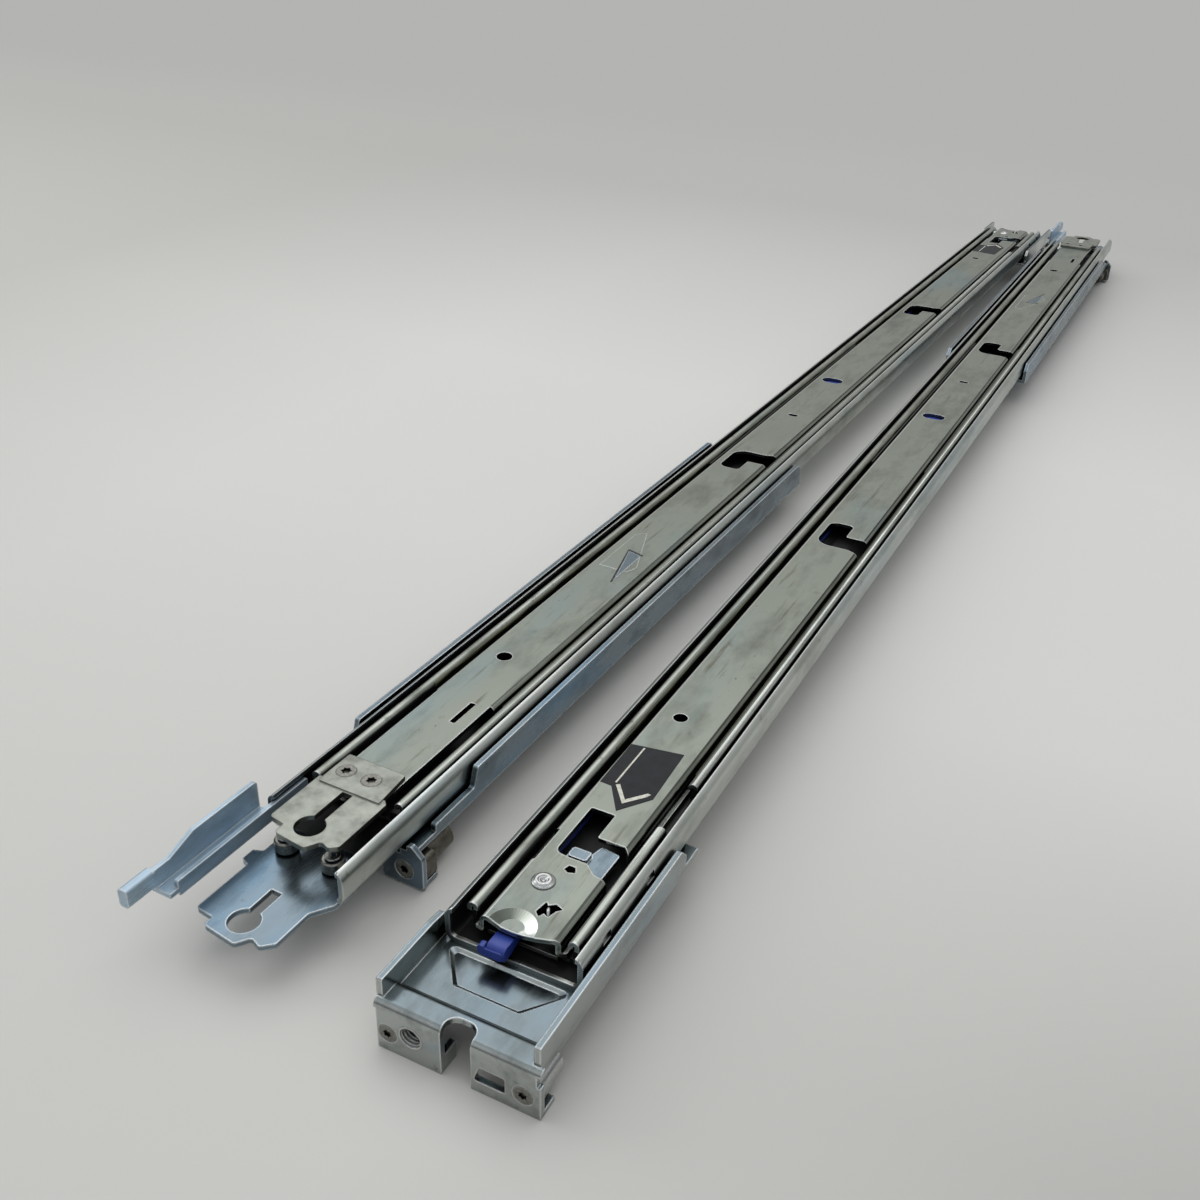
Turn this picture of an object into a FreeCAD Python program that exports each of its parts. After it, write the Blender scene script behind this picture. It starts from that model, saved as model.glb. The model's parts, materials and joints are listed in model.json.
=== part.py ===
import FreeCAD, Part
import math
import os

# A pair of 1U full-extension server rails, built as separate pieces.
# Rail frame: w runs across the rail (+ is up in the rack), v runs from the
# front rack flange towards the rear, z points out of the rack wall.
# The right rail lies along Y.  The left rail is its mirror image, laid beside
# it with the rear end to the front, as a pair is laid out before fitting.

V = FreeCAD.Vector

# ---------------------------------------------------------------- rack fit
UNIT_PIN_SPACING = 31.75      # outer holes of one rack unit
PIN_HEIGHT = 4.8              # rack pins above the lowest edge of the ears
PIN_RADIUS = 3.45
PIN_LENGTH = 10.0
PIN_CHAMFER = 1.0
PIN_SHANK_RADIUS = 2.2
SOCKET_RADIUS = 1.1           # driver recess of the rack pins and screws
SOCKET_DEPTH = 1.3

# ---------------------------------------------------------------- clearances
RUN_GAP = 0.3                 # between sliding faces
PIVOT_FIT = 0.05              # hinge pins in their holes
SEAT_FIT = 0.05               # fixed shanks in their holes

# ---------------------------------------------------------------- front bracket
BRACKET_SHEET = 1.5
BRACKET_BEND = 1.2
BRACKET_HALF = 19.0           # outside of the side flanges
EAR_TOP = 12.85
STRIP_DEPTH = 5.6             # raised strip behind the ears
STRIP_SLOPE = 1.6
PAN_TOP = 11.3                # sunk floor that carries the outer member
BRACKET_LENGTH = 76.0
FLANGE_TOP = 17.5
FLANGE_LEFT_END = 24.5
FLANGE_RIGHT_END = 69.0
FLANGE_CORNER = 0.4
EAR_LEFT_OUT = 18.4
EAR_RIGHT_OUT = 19.9
EAR_NOTCH_LEFT = 3.0
EAR_NOTCH_RIGHT = 4.0
EAR_NOTCH_DEPTH = 4.4         # how far the notch runs into the raised strip
EAR_RETURN = 4.0              # small stiffening returns of the ears
LEFT_RETURN_TOP = 4.4
RIGHT_RETURN_TOP = 1.2
SIDE_NOTCH_LOW = 8.6
SIDE_NOTCH_HIGH = 11.4
SIDE_NOTCH_DEPTH = 0.9
RECESS_DEPTH = 0.6            # sloped trapezoid pressed into the pan
RECESS_FRONT = 12.2
RECESS_REAR = 21.8
RECESS_FRONT_HALF = 8.0
RECESS_REAR_HALF = 15.2
RECESS_WALL = 0.8             # slope of its side, seen from above
CAPTIVE_HOLE_RADIUS = 2.5     # M5 for the captive screw of the server
CAPTIVE_HOLE_W = -10.3
CAPTIVE_HOLE_Z = 6.3
WINDOW_W = 8.2
WINDOW_WIDTH = 7.2
WINDOW_HEIGHT = 4.0
WINDOW_Z = 4.9
WINDOW_CORNER = 1.4
RIVET_RADIUS = 2.6
RIVET_HEAD = 0.7
RIVET_W = 7.0
RIVET_ROWS = (34.0, 66.0)

# ---------------------------------------------------------------- hooks
HOOK_SHEET = 1.6
HOOK_PIVOT_RADIUS = 1.4
HOOK_HEAD_RADIUS = 2.4
HOOK_HEAD = 0.65
HOOK_HEAD_GAP = 0.25
HOOK_THUMB = 1.6              # height of the thumb pad on the lever
FRONT_HOOK_W = -8.0
FRONT_HOOK_V = 22.6
REAR_HOOK_W = -15.4
REAR_HOOK_BACK = 37.5         # from the rear ear to its pivot

# ---------------------------------------------------------------- outer member
OUTER_SHEET = 1.3
OUTER_BEND = 2.0
OUTER_WIDTH = 33.3
OUTER_HEIGHT = 9.0
OUTER_LIP = 1.9
OUTER_FRONT = 22.7
OUTER_REAR = 712.0
OUTER_WALL_EXTRA = 14.0       # the upper wall runs on past the floor
SIDE_HOLE_ROWS = (31.7, 52.7)
SIDE_HOLE_LENGTH = 3.6
SIDE_HOLE_HEIGHT = 2.0
SIDE_HOLE_RISE = 5.6          # above the pan, in the round shoulder of the wall
FLOOR_HOLE_RADIUS = 2.2
FLOOR_HOLE_ROWS = (140.0, 330.0, 420.0)

# ---------------------------------------------------------------- middle member
MIDDLE_SHEET = 1.1
MIDDLE_BEND = 0.6
MIDDLE_HALF_TOP = 13.6
MIDDLE_HALF_LOW = 12.8
MIDDLE_LIP_EDGE = 10.9
MIDDLE_TOP_DROP = 0.35        # below the rim of the outer member
MIDDLE_STEP_LOW = 3.2         # the wall steps outwards below the lip
MIDDLE_STEP_HIGH = 2.3
MIDDLE_HEM = 1.85             # the lip turns down again by this much
MIDDLE_SET_BACK = 4.1         # behind the front of the outer member
MIDDLE_REAR_INSET = 12.5      # from the rear of the outer member's floor
MIDDLE_GAP_START = 69.0       # window in the upper wall
MIDDLE_GAP_END = 87.0
MIDDLE_GAP_SILL = 1.2
MIDDLE_NOSE_DEPTH = 0.9
MIDDLE_HOLE_RADIUS = 3.0
MIDDLE_HOLE_ROWS = (233.6, 300.0, 520.0)
FLOOR_GAP = 0.55              # between nested floors

# ---------------------------------------------------------------- inner member
INNER_SHEET = 1.1
INNER_BEND = 1.15
INNER_HALF = 9.5
INNER_TOP_DROP = 0.8          # below the rim of the outer member
INNER_FOOT = 10.6             # outside of the feet, turned out under the balls
INNER_SET_BACK = 1.8          # behind the front of the outer member
INNER_REAR_INSET = 12.0       # from the rear of the outer member's floor
INNER_TAIL = 46.0             # flat tail behind the legs
INNER_TAIL_HALF = 8.2
LEG_GAP = 0.55
DISH_HALF = 5.5               # thumb dish pressed down at the front edge
DISH_DEPTH = 0.85
DISH_W = -1.6
DISH_BACK = 0.7               # its centre behind the front edge
STOP_GAP = 1.5                # buffers behind the legs of the inner member
STOP_OVERLAP = 0.3
STOP_END = 0.6

# ---------------------------------------------------------------- balls
OUTER_BALL_RADIUS = 1.15
INNER_BALL_RADIUS = 0.95
BALL_RISE = 4.3               # centres of the outer balls above the pan
CAGE_SHEET = 0.6
CAGE_GAP = 0.2                # inner cages above the feet
OUTER_CAGE_HEIGHT = 2.8
INNER_CAGE_HEIGHT = 2.5
OUTER_CAGE_START = 210.0
OUTER_CAGE_LENGTH = 300.0
INNER_CAGE_START = 306.0
INNER_CAGE_LENGTH = 168.0
OUTER_BALL_COUNT = 10
INNER_BALL_COUNT = 8
POCKET_CLEARANCE = 0.05

# ---------------------------------------------------------------- openings of the inner member
SLOT_FIRST = 233.6            # slots for the shoulder pins of the server
SLOT_PITCH = 230.0
SLOT_COUNT = 2
SLOT_ENTRY = 9.0
SLOT_SHIFT = 1.6
SLOT_HOLD_LENGTH = 12.0
SLOT_LEFT = -6.0
SLOT_HOLD_WIDTH = 8.0
SLOT_FLARE = 2.5
FRONT_HOLE_V = 112.0
FRONT_HOLE_W = -2.4
FRONT_HOLE_RADIUS = 1.9
REAR_HOLE_INSET = 69.0        # holes from the rear of the inner member
REAR_HOLE_W = -2.0
REAR_HOLE_RADIUS = 2.2
RELEASE_WINDOW_V = 363.0
RELEASE_WINDOW_W = -1.5
RELEASE_WINDOW_WIDTH = 9.0
RELEASE_WINDOW_LENGTH = 6.0
GAUGE_SLOT_V = 412.0
GAUGE_SLOT_W = -1.0
GAUGE_SLOT_WIDTH = 4.0
GAUGE_SLOT_LENGTH = 2.4
LANCE_INSET = 40.0
LANCE_W = 3.6
LANCE_LENGTH = 10.0
LANCE_WIDTH = 1.6
TRIANGLE_INSET = 144.0
TRIANGLE_LENGTH = 24.0
TRIANGLE_LEFT = -5.0
TRIANGLE_RIGHT = 4.6
TRIANGLE_TIP = 2.0
LATCH_BAY_LEFT = -5.3
LATCH_BAY_FRONT = 50.0
LATCH_BAY_REAR = 68.0
LATCH_BAY_NECK = 0.9
LATCH_BAY_SHOULDER = 59.0
EDGE_NOTCH_FRONT = 45.8
EDGE_NOTCH_REAR = 57.6
EDGE_NOTCH_DEPTH = 1.5
EDGE_NOTCH_DROP = 1.6         # down the leg below the plate

# ---------------------------------------------------------------- front latch
LATCH_PIVOT_W = -2.6
LATCH_PIVOT_V = 40.3
LATCH_SHEET = 1.2
LATCH_DROP = 0.35             # below the plate of the inner member
LATCH_NOSE_DROP = 0.4
LATCH_NOSE_LEFT = -2.6
LATCH_NOSE_RIGHT = 2.2
LATCH_NOSE_FRONT = 50.9
LATCH_NOSE_REAR = 54.2
PIVOT_RADIUS = 1.4
PIVOT_HEAD_RADIUS = 2.2
PIVOT_HEAD = 0.55
PIVOT_FOOT_RADIUS = 2.0
PIVOT_FOOT = 0.4
PIVOT_FOOT_GAP = 0.25
PIVOT_SOCKET_RADIUS = 0.8

# ---------------------------------------------------------------- release bar
BAR_GAP = 0.1                 # above the lower edge of the legs
BAR_THICK = 1.2
BAR_LEFT = -8.1               # beside the lower leg, clear of every opening
BAR_RIGHT = -6.3
BAR_ROOT = 3.2                # from the front edge to the cross piece of the tab
BAR_ROOT_LENGTH = 4.0
PAD_RIGHT = 3.4
PAD_FRONT = 12.0              # around the release window
PAD_REAR = 9.0
TAB_LEFT = -6.8               # left end of the finger lip
TAB_STEM_LEFT = -4.8
TAB_RIGHT = -0.4
TAB_REACH = 4.6               # in front of the inner member
TAB_LIP = 1.7                 # thickness of the finger lip
TAB_LIP_RISE = 1.6
TAB_RISE = 2.3
TAB_DROP = 0.9

# ---------------------------------------------------------------- rear bracket
REAR_BRACKET_START = 454.0
REAR_BRACKET_NOSE = 3.0
REAR_FLANGE_TOP = 18.2
REAR_FLANGE_TOP_LEFT = 19.3
REAR_FLANGE_STEP_BACK = 27.5  # from the rear ear
REAR_FLANGE_END_BACK = 9.0
REAR_LOW_FLANGE_TOP = 13.0
REAR_WEB_END = 640.0
REAR_RAIL_WIDTH = 4.0         # strips of the floor beside the tongue
REAR_SLOT_ROWS = (500.0, 560.0, 620.0)
REAR_SLOT_WIDTH = 6.0
REAR_SLOT_LENGTH = 26.0
REAR_EAR_V = 703.5
REAR_EAR_INNER = 9.6
REAR_EAR_OUTER = 21.4
REAR_EAR_TOP = 12.4
REAR_EAR_BOTTOM = 0.4
REAR_EAR_SHELF = 1.2
REAR_BLOCK_DEPTH = 5.0
REAR_BLOCK_IN = 4.4
REAR_BLOCK_OUT = 4.8
REAR_BLOCK_TOP = 7.8
REAR_SCREW_RADIUS = 1.85
REAR_SCREW_HEAD_RADIUS = 2.55
REAR_SCREW_LENGTH = 3.8
REAR_SOCKET_DEPTH = 0.9

# ---------------------------------------------------------------- tongue and rollers
TONGUE_HALF = 11.2
TONGUE_OVERLAP = 20.0         # under the floor of the outer member
TONGUE_REACH = 16.5           # from the end of the upper wall to the shoulders
TONGUE_TIP_LENGTH = 4.0
TONGUE_SHEET = 1.4
TONGUE_EAR_RIGHT = 14.6
TONGUE_EAR_LEFT = 13.6
TONGUE_KEY_W = 0.6
TONGUE_KEY_LENGTH = 12.9
TONGUE_KEY_BACK = 2.4
KEY_NARROW = 3.0
KEY_WIDE = 7.4
ROLLER_BEHIND = 5.4           # behind the floor of the outer member
ROLLER_W = 6.85
ROLLER_RADIUS = 2.8
ROLLER_HEIGHT = 3.3
ROLLER_CHAMFER = 0.35
ROLLER_PIN_RADIUS = 1.2
ROLLER_HEAD_RADIUS = 1.9
ROLLER_HEAD = 0.45
ROLLER_SEAT = 0.15
ROLLER_FIT = 0.06

# ---------------------------------------------------------------- cable plate
CABLE_PLATE_HALF = 10.3
CABLE_PLATE_SHEET = 1.3
CABLE_FLANGE_LENGTH = 9.9
CABLE_STEP_GAP = 0.4          # behind the inner member
CABLE_BODY_LENGTH = 18.4
CABLE_TIP_LENGTH = 4.2
CABLE_PLATE_RISE = 0.9
CABLE_KEY_FRONT = 2.4
CABLE_KEY_BACK = 2.4
CABLE_SCREW_ROWS = (-5.6, 1.9)
CABLE_SCREW_FRONT = 4.2       # from the step of the plate
CABLE_SCREW_RADIUS = 1.2
CABLE_SCREW_HEAD_RADIUS = 2.6
CABLE_SCREW_HEAD = 1.1
CABLE_SOCKET_RADIUS = 0.9
CABLE_SOCKET_DEPTH = 0.7

# ---------------------------------------------------------------- rear arm
ARM_OVERLAP = 11.4            # the low wall is fixed inside the outer member
ARM_FLOOR_GAP = 1.0
ARM_LENGTH = 33.0
ARM_WIDTH = 5.4
ARM_SHEET = 1.2
ARM_FLOOR = 15.2
ARM_HIGH = 23.6
ARM_STEP = 2.6
ARM_LOW = 18.2
ARM_LOW_RISE = 1.5            # clears the bend of the outer member
ARM_CURL = 7.5
ARM_CURL_OUT = 1.6

# ---------------------------------------------------------------- the pair
PAIR_SPACING = 57.8
LEFT_YAW = 1.17
LEFT_LEAD = 745.9             # the front of the left rail along Y

LABEL_THICK = 0.1
BEYOND = 1.0                  # cutters run this far past the faces

PIN_HALF = UNIT_PIN_SPACING / 2
OUTER_WALL_REAR = OUTER_REAR + OUTER_WALL_EXTRA
MIDDLE_FRONT = OUTER_FRONT + MIDDLE_SET_BACK
MIDDLE_REAR = OUTER_REAR - MIDDLE_REAR_INSET
INNER_FRONT = OUTER_FRONT + INNER_SET_BACK
INNER_REAR = OUTER_REAR - INNER_REAR_INSET
INNER_LEG_REAR = INNER_REAR - INNER_TAIL
REAR_HOLE_V = INNER_REAR - REAR_HOLE_INSET
LANCE_V = INNER_REAR - LANCE_INSET
TRIANGLE_V = INNER_REAR - TRIANGLE_INSET
TAB_FRONT = INNER_FRONT - TAB_REACH
REAR_HOOK_V = REAR_EAR_V - REAR_HOOK_BACK
REAR_FLANGE_STEP = REAR_EAR_V - REAR_FLANGE_STEP_BACK
REAR_FLANGE_END = REAR_EAR_V - REAR_FLANGE_END_BACK
TONGUE_START = OUTER_REAR - TONGUE_OVERLAP
TONGUE_SHOULDER = OUTER_WALL_REAR + TONGUE_REACH
TONGUE_TIP = TONGUE_SHOULDER + TONGUE_TIP_LENGTH
TONGUE_KEY_START = TONGUE_SHOULDER - TONGUE_KEY_LENGTH
ROLLER_V = OUTER_REAR + ROLLER_BEHIND
CABLE_PLATE_STEP = INNER_REAR + CABLE_STEP_GAP
CABLE_PLATE_START = CABLE_PLATE_STEP - CABLE_FLANGE_LENGTH
CABLE_PLATE_SHOULDER = CABLE_PLATE_STEP + CABLE_BODY_LENGTH
CABLE_PLATE_TIP = CABLE_PLATE_SHOULDER + CABLE_TIP_LENGTH
ARM_START = OUTER_REAR - ARM_OVERLAP
ARM_FLOOR_START = OUTER_REAR + ARM_FLOOR_GAP
ARM_END = ARM_FLOOR_START + ARM_LENGTH
RIM = PAN_TOP + OUTER_HEIGHT
PAN_LOW = PAN_TOP - BRACKET_SHEET
OUTER_HALF = OUTER_WIDTH / 2
OUTER_INSIDE = OUTER_HALF - OUTER_SHEET
OUTER_FLOOR = PAN_TOP + OUTER_SHEET
MIDDLE_BOTTOM = OUTER_FLOOR + FLOOR_GAP
MIDDLE_FLOOR = MIDDLE_BOTTOM + MIDDLE_SHEET
MIDDLE_INSIDE = MIDDLE_HALF_LOW - MIDDLE_SHEET
MIDDLE_TOP = RIM - MIDDLE_TOP_DROP
INNER_TOP = RIM - INNER_TOP_DROP
INNER_UNDER = INNER_TOP - INNER_SHEET
INNER_LEG_BOTTOM = MIDDLE_FLOOR + LEG_GAP
INNER_FOOT_TOP = INNER_LEG_BOTTOM + INNER_SHEET
LATCH_TOP = INNER_UNDER - LATCH_DROP
LATCH_LOW = LATCH_TOP - LATCH_SHEET
BAR_LOW = INNER_LEG_BOTTOM + BAR_GAP
BAR_TOP = BAR_LOW + BAR_THICK
HOOK_LOW = PIN_HEIGHT - HOOK_SHEET / 2
HOOK_TOP = PIN_HEIGHT + HOOK_SHEET / 2
REAR_TOP = PAN_TOP - RUN_GAP
REAR_LOW = REAR_TOP - BRACKET_SHEET
REAR_EAR_FACE = REAR_EAR_V - BRACKET_SHEET
OUTER_BALL_Z = PAN_TOP + BALL_RISE
OUTER_BALL_W = (OUTER_INSIDE + MIDDLE_HALF_LOW) / 2
INNER_BALL_Z = (INNER_FOOT_TOP + MIDDLE_TOP - MIDDLE_HEM) / 2
INNER_BALL_W = (MIDDLE_INSIDE + INNER_HALF) / 2
INNER_CAGE_W = (MIDDLE_LIP_EDGE + INNER_HALF) / 2
DISH_RADIUS = (DISH_HALF ** 2 + DISH_DEPTH ** 2) / (2 * DISH_DEPTH)
CABLE_SCREW_V = CABLE_PLATE_STEP - CABLE_SCREW_FRONT


# ================================================================= helpers
def rounded_wire(points, place):
    """Closed wire through (a, b, radius) corners, with tangent arcs."""
    count = len(points)
    corners = []
    edges = []
    for i in range(count):
        a, b, radius = points[i]
        before = points[i - 1]
        after = points[(i + 1) % count]
        corner = V(a, b, 0)
        if radius <= 0:
            corners.append((corner, corner, None))
            continue
        to_before = V(before[0] - a, before[1] - b, 0)
        to_after = V(after[0] - a, after[1] - b, 0)
        half = to_before.getAngle(to_after) / 2
        reach = min(radius / math.tan(half), 0.49 * to_before.Length, 0.49 * to_after.Length)
        true_radius = reach * math.tan(half)
        to_before.normalize()
        to_after.normalize()
        middle = to_before + to_after
        middle.normalize()
        centre = corner + middle * (true_radius / math.sin(half))
        corners.append((corner + to_before * reach, corner + to_after * reach,
                        centre - middle * true_radius))
    for i in range(count):
        first, last, mid = corners[i]
        if mid is not None:
            edges.append(Part.Arc(place(first), place(mid), place(last)).toShape())
        following = corners[(i + 1) % count][0]
        if (following - last).Length > 1e-6:
            edges.append(Part.LineSegment(place(last), place(following)).toShape())
    return Part.Wire(edges)


def with_radius(points, radius):
    return [(p[0], p[1], p[2] if len(p) > 2 else radius) for p in points]


def plate(points, z0, z1, radius=0.0):
    """Flat piece from an outline in w and v."""
    wire = rounded_wire(with_radius(points, radius), lambda p: V(p.x, p.y, z0))
    return Part.Face(wire).extrude(V(0, 0, z1 - z0))


def across(points, w0, w1, radius=0.0):
    """Piece from an outline in v and z, extruded across the rail."""
    wire = rounded_wire(with_radius(points, radius), lambda p: V(w0, p.x, p.y))
    return Part.Face(wire).extrude(V(w1 - w0, 0, 0))


def along(points, v0, v1, radius=0.0):
    """Piece from an outline in w and z, extruded along the rail."""
    wire = rounded_wire(with_radius(points, radius), lambda p: V(p.x, v0, p.y))
    return Part.Face(wire).extrude(V(0, v1 - v0, 0))


def block(w0, w1, v0, v1, z0, z1):
    return Part.makeBox(w1 - w0, v1 - v0, z1 - z0, V(w0, v0, z0))


def rectangle(w, v, width, length):
    """Corners of a rectangle in w and v about its centre."""
    a = width / 2
    b = length / 2
    return [(w - a, v - b), (w + a, v - b), (w + a, v + b), (w - a, v + b)]


def post(w, v, z0, z1, radius):
    return Part.makeCylinder(radius, z1 - z0, V(w, v, z0), V(0, 0, 1))


def rod(w, z, v0, v1, radius):
    return Part.makeCylinder(radius, v1 - v0, V(w, v0, z), V(0, 1, 0))


def sheet_outline(path, sheet, bend):
    """Closed outline of a bent sheet from its centre line."""
    sides = ([], [])
    count = len(path)
    for i in range(count):
        here = V(path[i][0], path[i][1], 0)
        if i > 0:
            before = here - V(path[i - 1][0], path[i - 1][1], 0)
            before.normalize()
        if i < count - 1:
            after = V(path[i + 1][0], path[i + 1][1], 0) - here
            after.normalize()
        if i == 0:
            before = after
        if i == count - 1:
            after = before
        left_before = V(-before.y, before.x, 0)
        left_after = V(-after.y, after.x, 0)
        mitre = left_before + left_after
        mitre.normalize()
        reach = sheet / 2 / mitre.dot(left_after)
        turn = before.x * after.y - before.y * after.x
        for side, sign in ((0, 1), (1, -1)):
            spot = here + mitre * (reach * sign)
            radius = 0.0
            if 0 < i < count - 1:
                radius = max(bend - sheet / 2 * sign * (1 if turn > 0 else -1), 0.05)
            sides[side].append((spot.x, spot.y, radius))
    return sides[0] + sides[1][::-1]


def channel(half_path, sheet, bend, v0, v1):
    """Channel of bent sheet; half_path runs from the floor up one wall."""
    path = [(-w, z) for w, z in reversed(half_path)] + list(half_path)
    return along(sheet_outline(path, sheet, bend), v0, v1)


def fuse(pieces):
    body = pieces[0]
    if len(pieces) > 1:
        body = body.multiFuse(pieces[1:])
    return body.removeSplitter()


def keyhole(w, v_narrow, v_wide, z0, z1):
    """Keyhole slot: a narrow neck that runs into a round hole."""
    neck = block(w - KEY_NARROW / 2, w + KEY_NARROW / 2, v_narrow, v_wide, z0, z1)
    return neck.fuse(post(w, v_wide, z0, z1, KEY_WIDE / 2))


def rack_pin(w, v0, v1, free_end):
    """Shaft that enters the rack hole, chamfered at its free end."""
    pin = rod(w, PIN_HEIGHT, v0, v1, PIN_RADIUS)
    tip = [e for e in pin.Edges if abs(e.BoundBox.YMin - free_end) < 1e-6
           and abs(e.BoundBox.YMax - free_end) < 1e-6]
    return pin.makeChamfer(PIN_CHAMFER, tip)


# ================================================================= fixed members
def outer_rail():
    """Fixed channel with inward lips; its upper wall runs past the floor."""
    wall = OUTER_HALF - OUTER_SHEET / 2
    half = [(wall, PAN_TOP + OUTER_SHEET / 2), (wall, RIM - OUTER_SHEET / 2),
            (OUTER_HALF - OUTER_LIP, RIM - OUTER_SHEET / 2)]
    body = channel(half, OUTER_SHEET, OUTER_BEND, OUTER_FRONT, OUTER_WALL_REAR)
    tail = block(-OUTER_HALF - BEYOND, OUTER_HALF - OUTER_LIP, OUTER_REAR,
                 OUTER_WALL_REAR + BEYOND, PAN_TOP - BEYOND, RIM + BEYOND)
    holes = [tail]
    low = PAN_TOP + SIDE_HOLE_RISE
    for v in SIDE_HOLE_ROWS:
        holes.append(block(OUTER_INSIDE - BEYOND, OUTER_HALF + BEYOND, v, v + SIDE_HOLE_LENGTH,
                           low, low + SIDE_HOLE_HEIGHT))
    for v in FLOOR_HOLE_ROWS:
        holes.append(post(0, v, PAN_TOP - BEYOND, OUTER_FLOOR + BEYOND, FLOOR_HOLE_RADIUS))
    return body.cut(Part.makeCompound(holes))


def ear_cutters():
    """Holes of the two front ears, cut through along the rail."""
    front = -BEYOND
    back = BRACKET_SHEET + BEYOND
    cuts = [rod(CAPTIVE_HOLE_W, CAPTIVE_HOLE_Z, front, back, CAPTIVE_HOLE_RADIUS)]
    for side in (-1, 1):
        cuts.append(rod(side * PIN_HALF, PIN_HEIGHT, front, back, PIN_SHANK_RADIUS + SEAT_FIT))
    low = WINDOW_Z - WINDOW_HEIGHT / 2
    high = WINDOW_Z + WINDOW_HEIGHT / 2
    left = WINDOW_W - WINDOW_WIDTH / 2
    right = WINDOW_W + WINDOW_WIDTH / 2
    window = [(left, low), (right, low), (right, high), (left + WINDOW_CORNER, high)]
    cuts.append(along(window, front, back, 0.5))
    cuts.append(block(EAR_RIGHT_OUT - SIDE_NOTCH_DEPTH, EAR_RIGHT_OUT + BEYOND, front, back,
                      SIDE_NOTCH_LOW, SIDE_NOTCH_HIGH))
    return cuts


def ear_notch():
    """Notch between the two front ears, round where it enters the strip."""
    left = -EAR_NOTCH_LEFT
    right = EAR_NOTCH_RIGHT
    slot = block(left, right, -BEYOND, BRACKET_SHEET + 0.4, -BEYOND, EAR_TOP + BEYOND)
    corner = (right - left) / 2 - 0.5
    top = [(left, -BEYOND, 0), (right, -BEYOND, 0), (right, EAR_NOTCH_DEPTH, corner),
           (left, EAR_NOTCH_DEPTH, corner)]
    return [slot, plate(top, EAR_TOP - 2 * BRACKET_SHEET, EAR_TOP + BEYOND)]


def pan_recess():
    """Trapezoid pressed into the pan, with sloped sides."""
    wall = RECESS_WALL
    top = [(-RECESS_REAR_HALF, RECESS_REAR), (-RECESS_FRONT_HALF, RECESS_FRONT),
           (RECESS_FRONT_HALF, RECESS_FRONT), (RECESS_REAR_HALF, RECESS_REAR)]
    low = [(-RECESS_REAR_HALF + 2 * wall, RECESS_REAR - wall),
           (-RECESS_FRONT_HALF + wall, RECESS_FRONT + wall),
           (RECESS_FRONT_HALF - wall, RECESS_FRONT + wall),
           (RECESS_REAR_HALF - 2 * wall, RECESS_REAR - wall)]
    above = PAN_TOP + 0.01
    top_wire = rounded_wire(with_radius(top, 1.2), lambda p: V(p.x, p.y, above))
    low_wire = rounded_wire(with_radius(low, 0.9), lambda p: V(p.x, p.y, PAN_TOP - RECESS_DEPTH))
    return Part.makeLoft([low_wire, top_wire], True, True)


def front_bracket():
    """Pressed bracket: two ears, a raised strip, a sunk pan and side flanges."""
    half_sheet = BRACKET_SHEET / 2
    path = [(half_sheet, 0.0), (half_sheet, EAR_TOP - half_sheet),
            (STRIP_DEPTH, EAR_TOP - half_sheet), (STRIP_DEPTH + STRIP_SLOPE, PAN_TOP - half_sheet),
            (BRACKET_LENGTH, PAN_TOP - half_sheet)]
    outline = sheet_outline(path, BRACKET_SHEET, BRACKET_BEND)
    body = across(outline, -BRACKET_HALF, EAR_RIGHT_OUT)
    # the pan is narrower than the right ear, and the left ear than the pan
    right_trim = block(BRACKET_HALF, EAR_RIGHT_OUT + BEYOND, BRACKET_SHEET + RUN_GAP,
                       BRACKET_LENGTH + BEYOND, -BEYOND, EAR_TOP + BEYOND)
    left_trim = block(-BRACKET_HALF - BEYOND, -EAR_LEFT_OUT, -BEYOND, BRACKET_SHEET,
                      -BEYOND, PAN_LOW + 1.0)
    body = body.cut(Part.makeCompound([right_trim, left_trim]))
    left = across([(BRACKET_SHEET, PAN_LOW), (FLANGE_LEFT_END, PAN_LOW),
                   (FLANGE_LEFT_END, FLANGE_TOP - 0.6), (FLANGE_LEFT_END - 5.0, FLANGE_TOP - 0.1),
                   (BRACKET_SHEET, FLANGE_TOP)],
                  -BRACKET_HALF, -BRACKET_HALF + BRACKET_SHEET, FLANGE_CORNER)
    right = across([(BRACKET_SHEET, PAN_LOW), (FLANGE_RIGHT_END, PAN_LOW),
                    (FLANGE_RIGHT_END, FLANGE_TOP - 3.0),
                    (FLANGE_RIGHT_END - 2.5, FLANGE_TOP - 0.4), (BRACKET_SHEET, FLANGE_TOP)],
                   BRACKET_HALF - BRACKET_SHEET, BRACKET_HALF, FLANGE_CORNER)
    left_return = block(-EAR_NOTCH_LEFT - BRACKET_SHEET, -EAR_NOTCH_LEFT, BRACKET_SHEET,
                        BRACKET_SHEET + EAR_RETURN, 0, LEFT_RETURN_TOP)
    right_return = block(EAR_RIGHT_OUT - BRACKET_SHEET, EAR_RIGHT_OUT, BRACKET_SHEET,
                         BRACKET_SHEET + EAR_RETURN, 0, RIGHT_RETURN_TOP)
    body = fuse([body, left, right, left_return, right_return])
    return body.cut(Part.makeCompound(ear_cutters() + ear_notch())).cut(pan_recess())


def front_pins():
    """Two rack pins behind the front ears, each held by a screw shank."""
    pins = []
    end = BRACKET_SHEET + PIN_LENGTH
    for side in (-1, 1):
        w = side * PIN_HALF
        pin = rack_pin(w, BRACKET_SHEET, end, end)
        shank = rod(w, PIN_HEIGHT, 0.0, BRACKET_SHEET, PIN_SHANK_RADIUS)
        socket = rod(w, PIN_HEIGHT, -BEYOND, SOCKET_DEPTH, SOCKET_RADIUS)
        pins.append(fuse([pin, shank]).cut(socket))
    return Part.makeCompound(pins)


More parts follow.
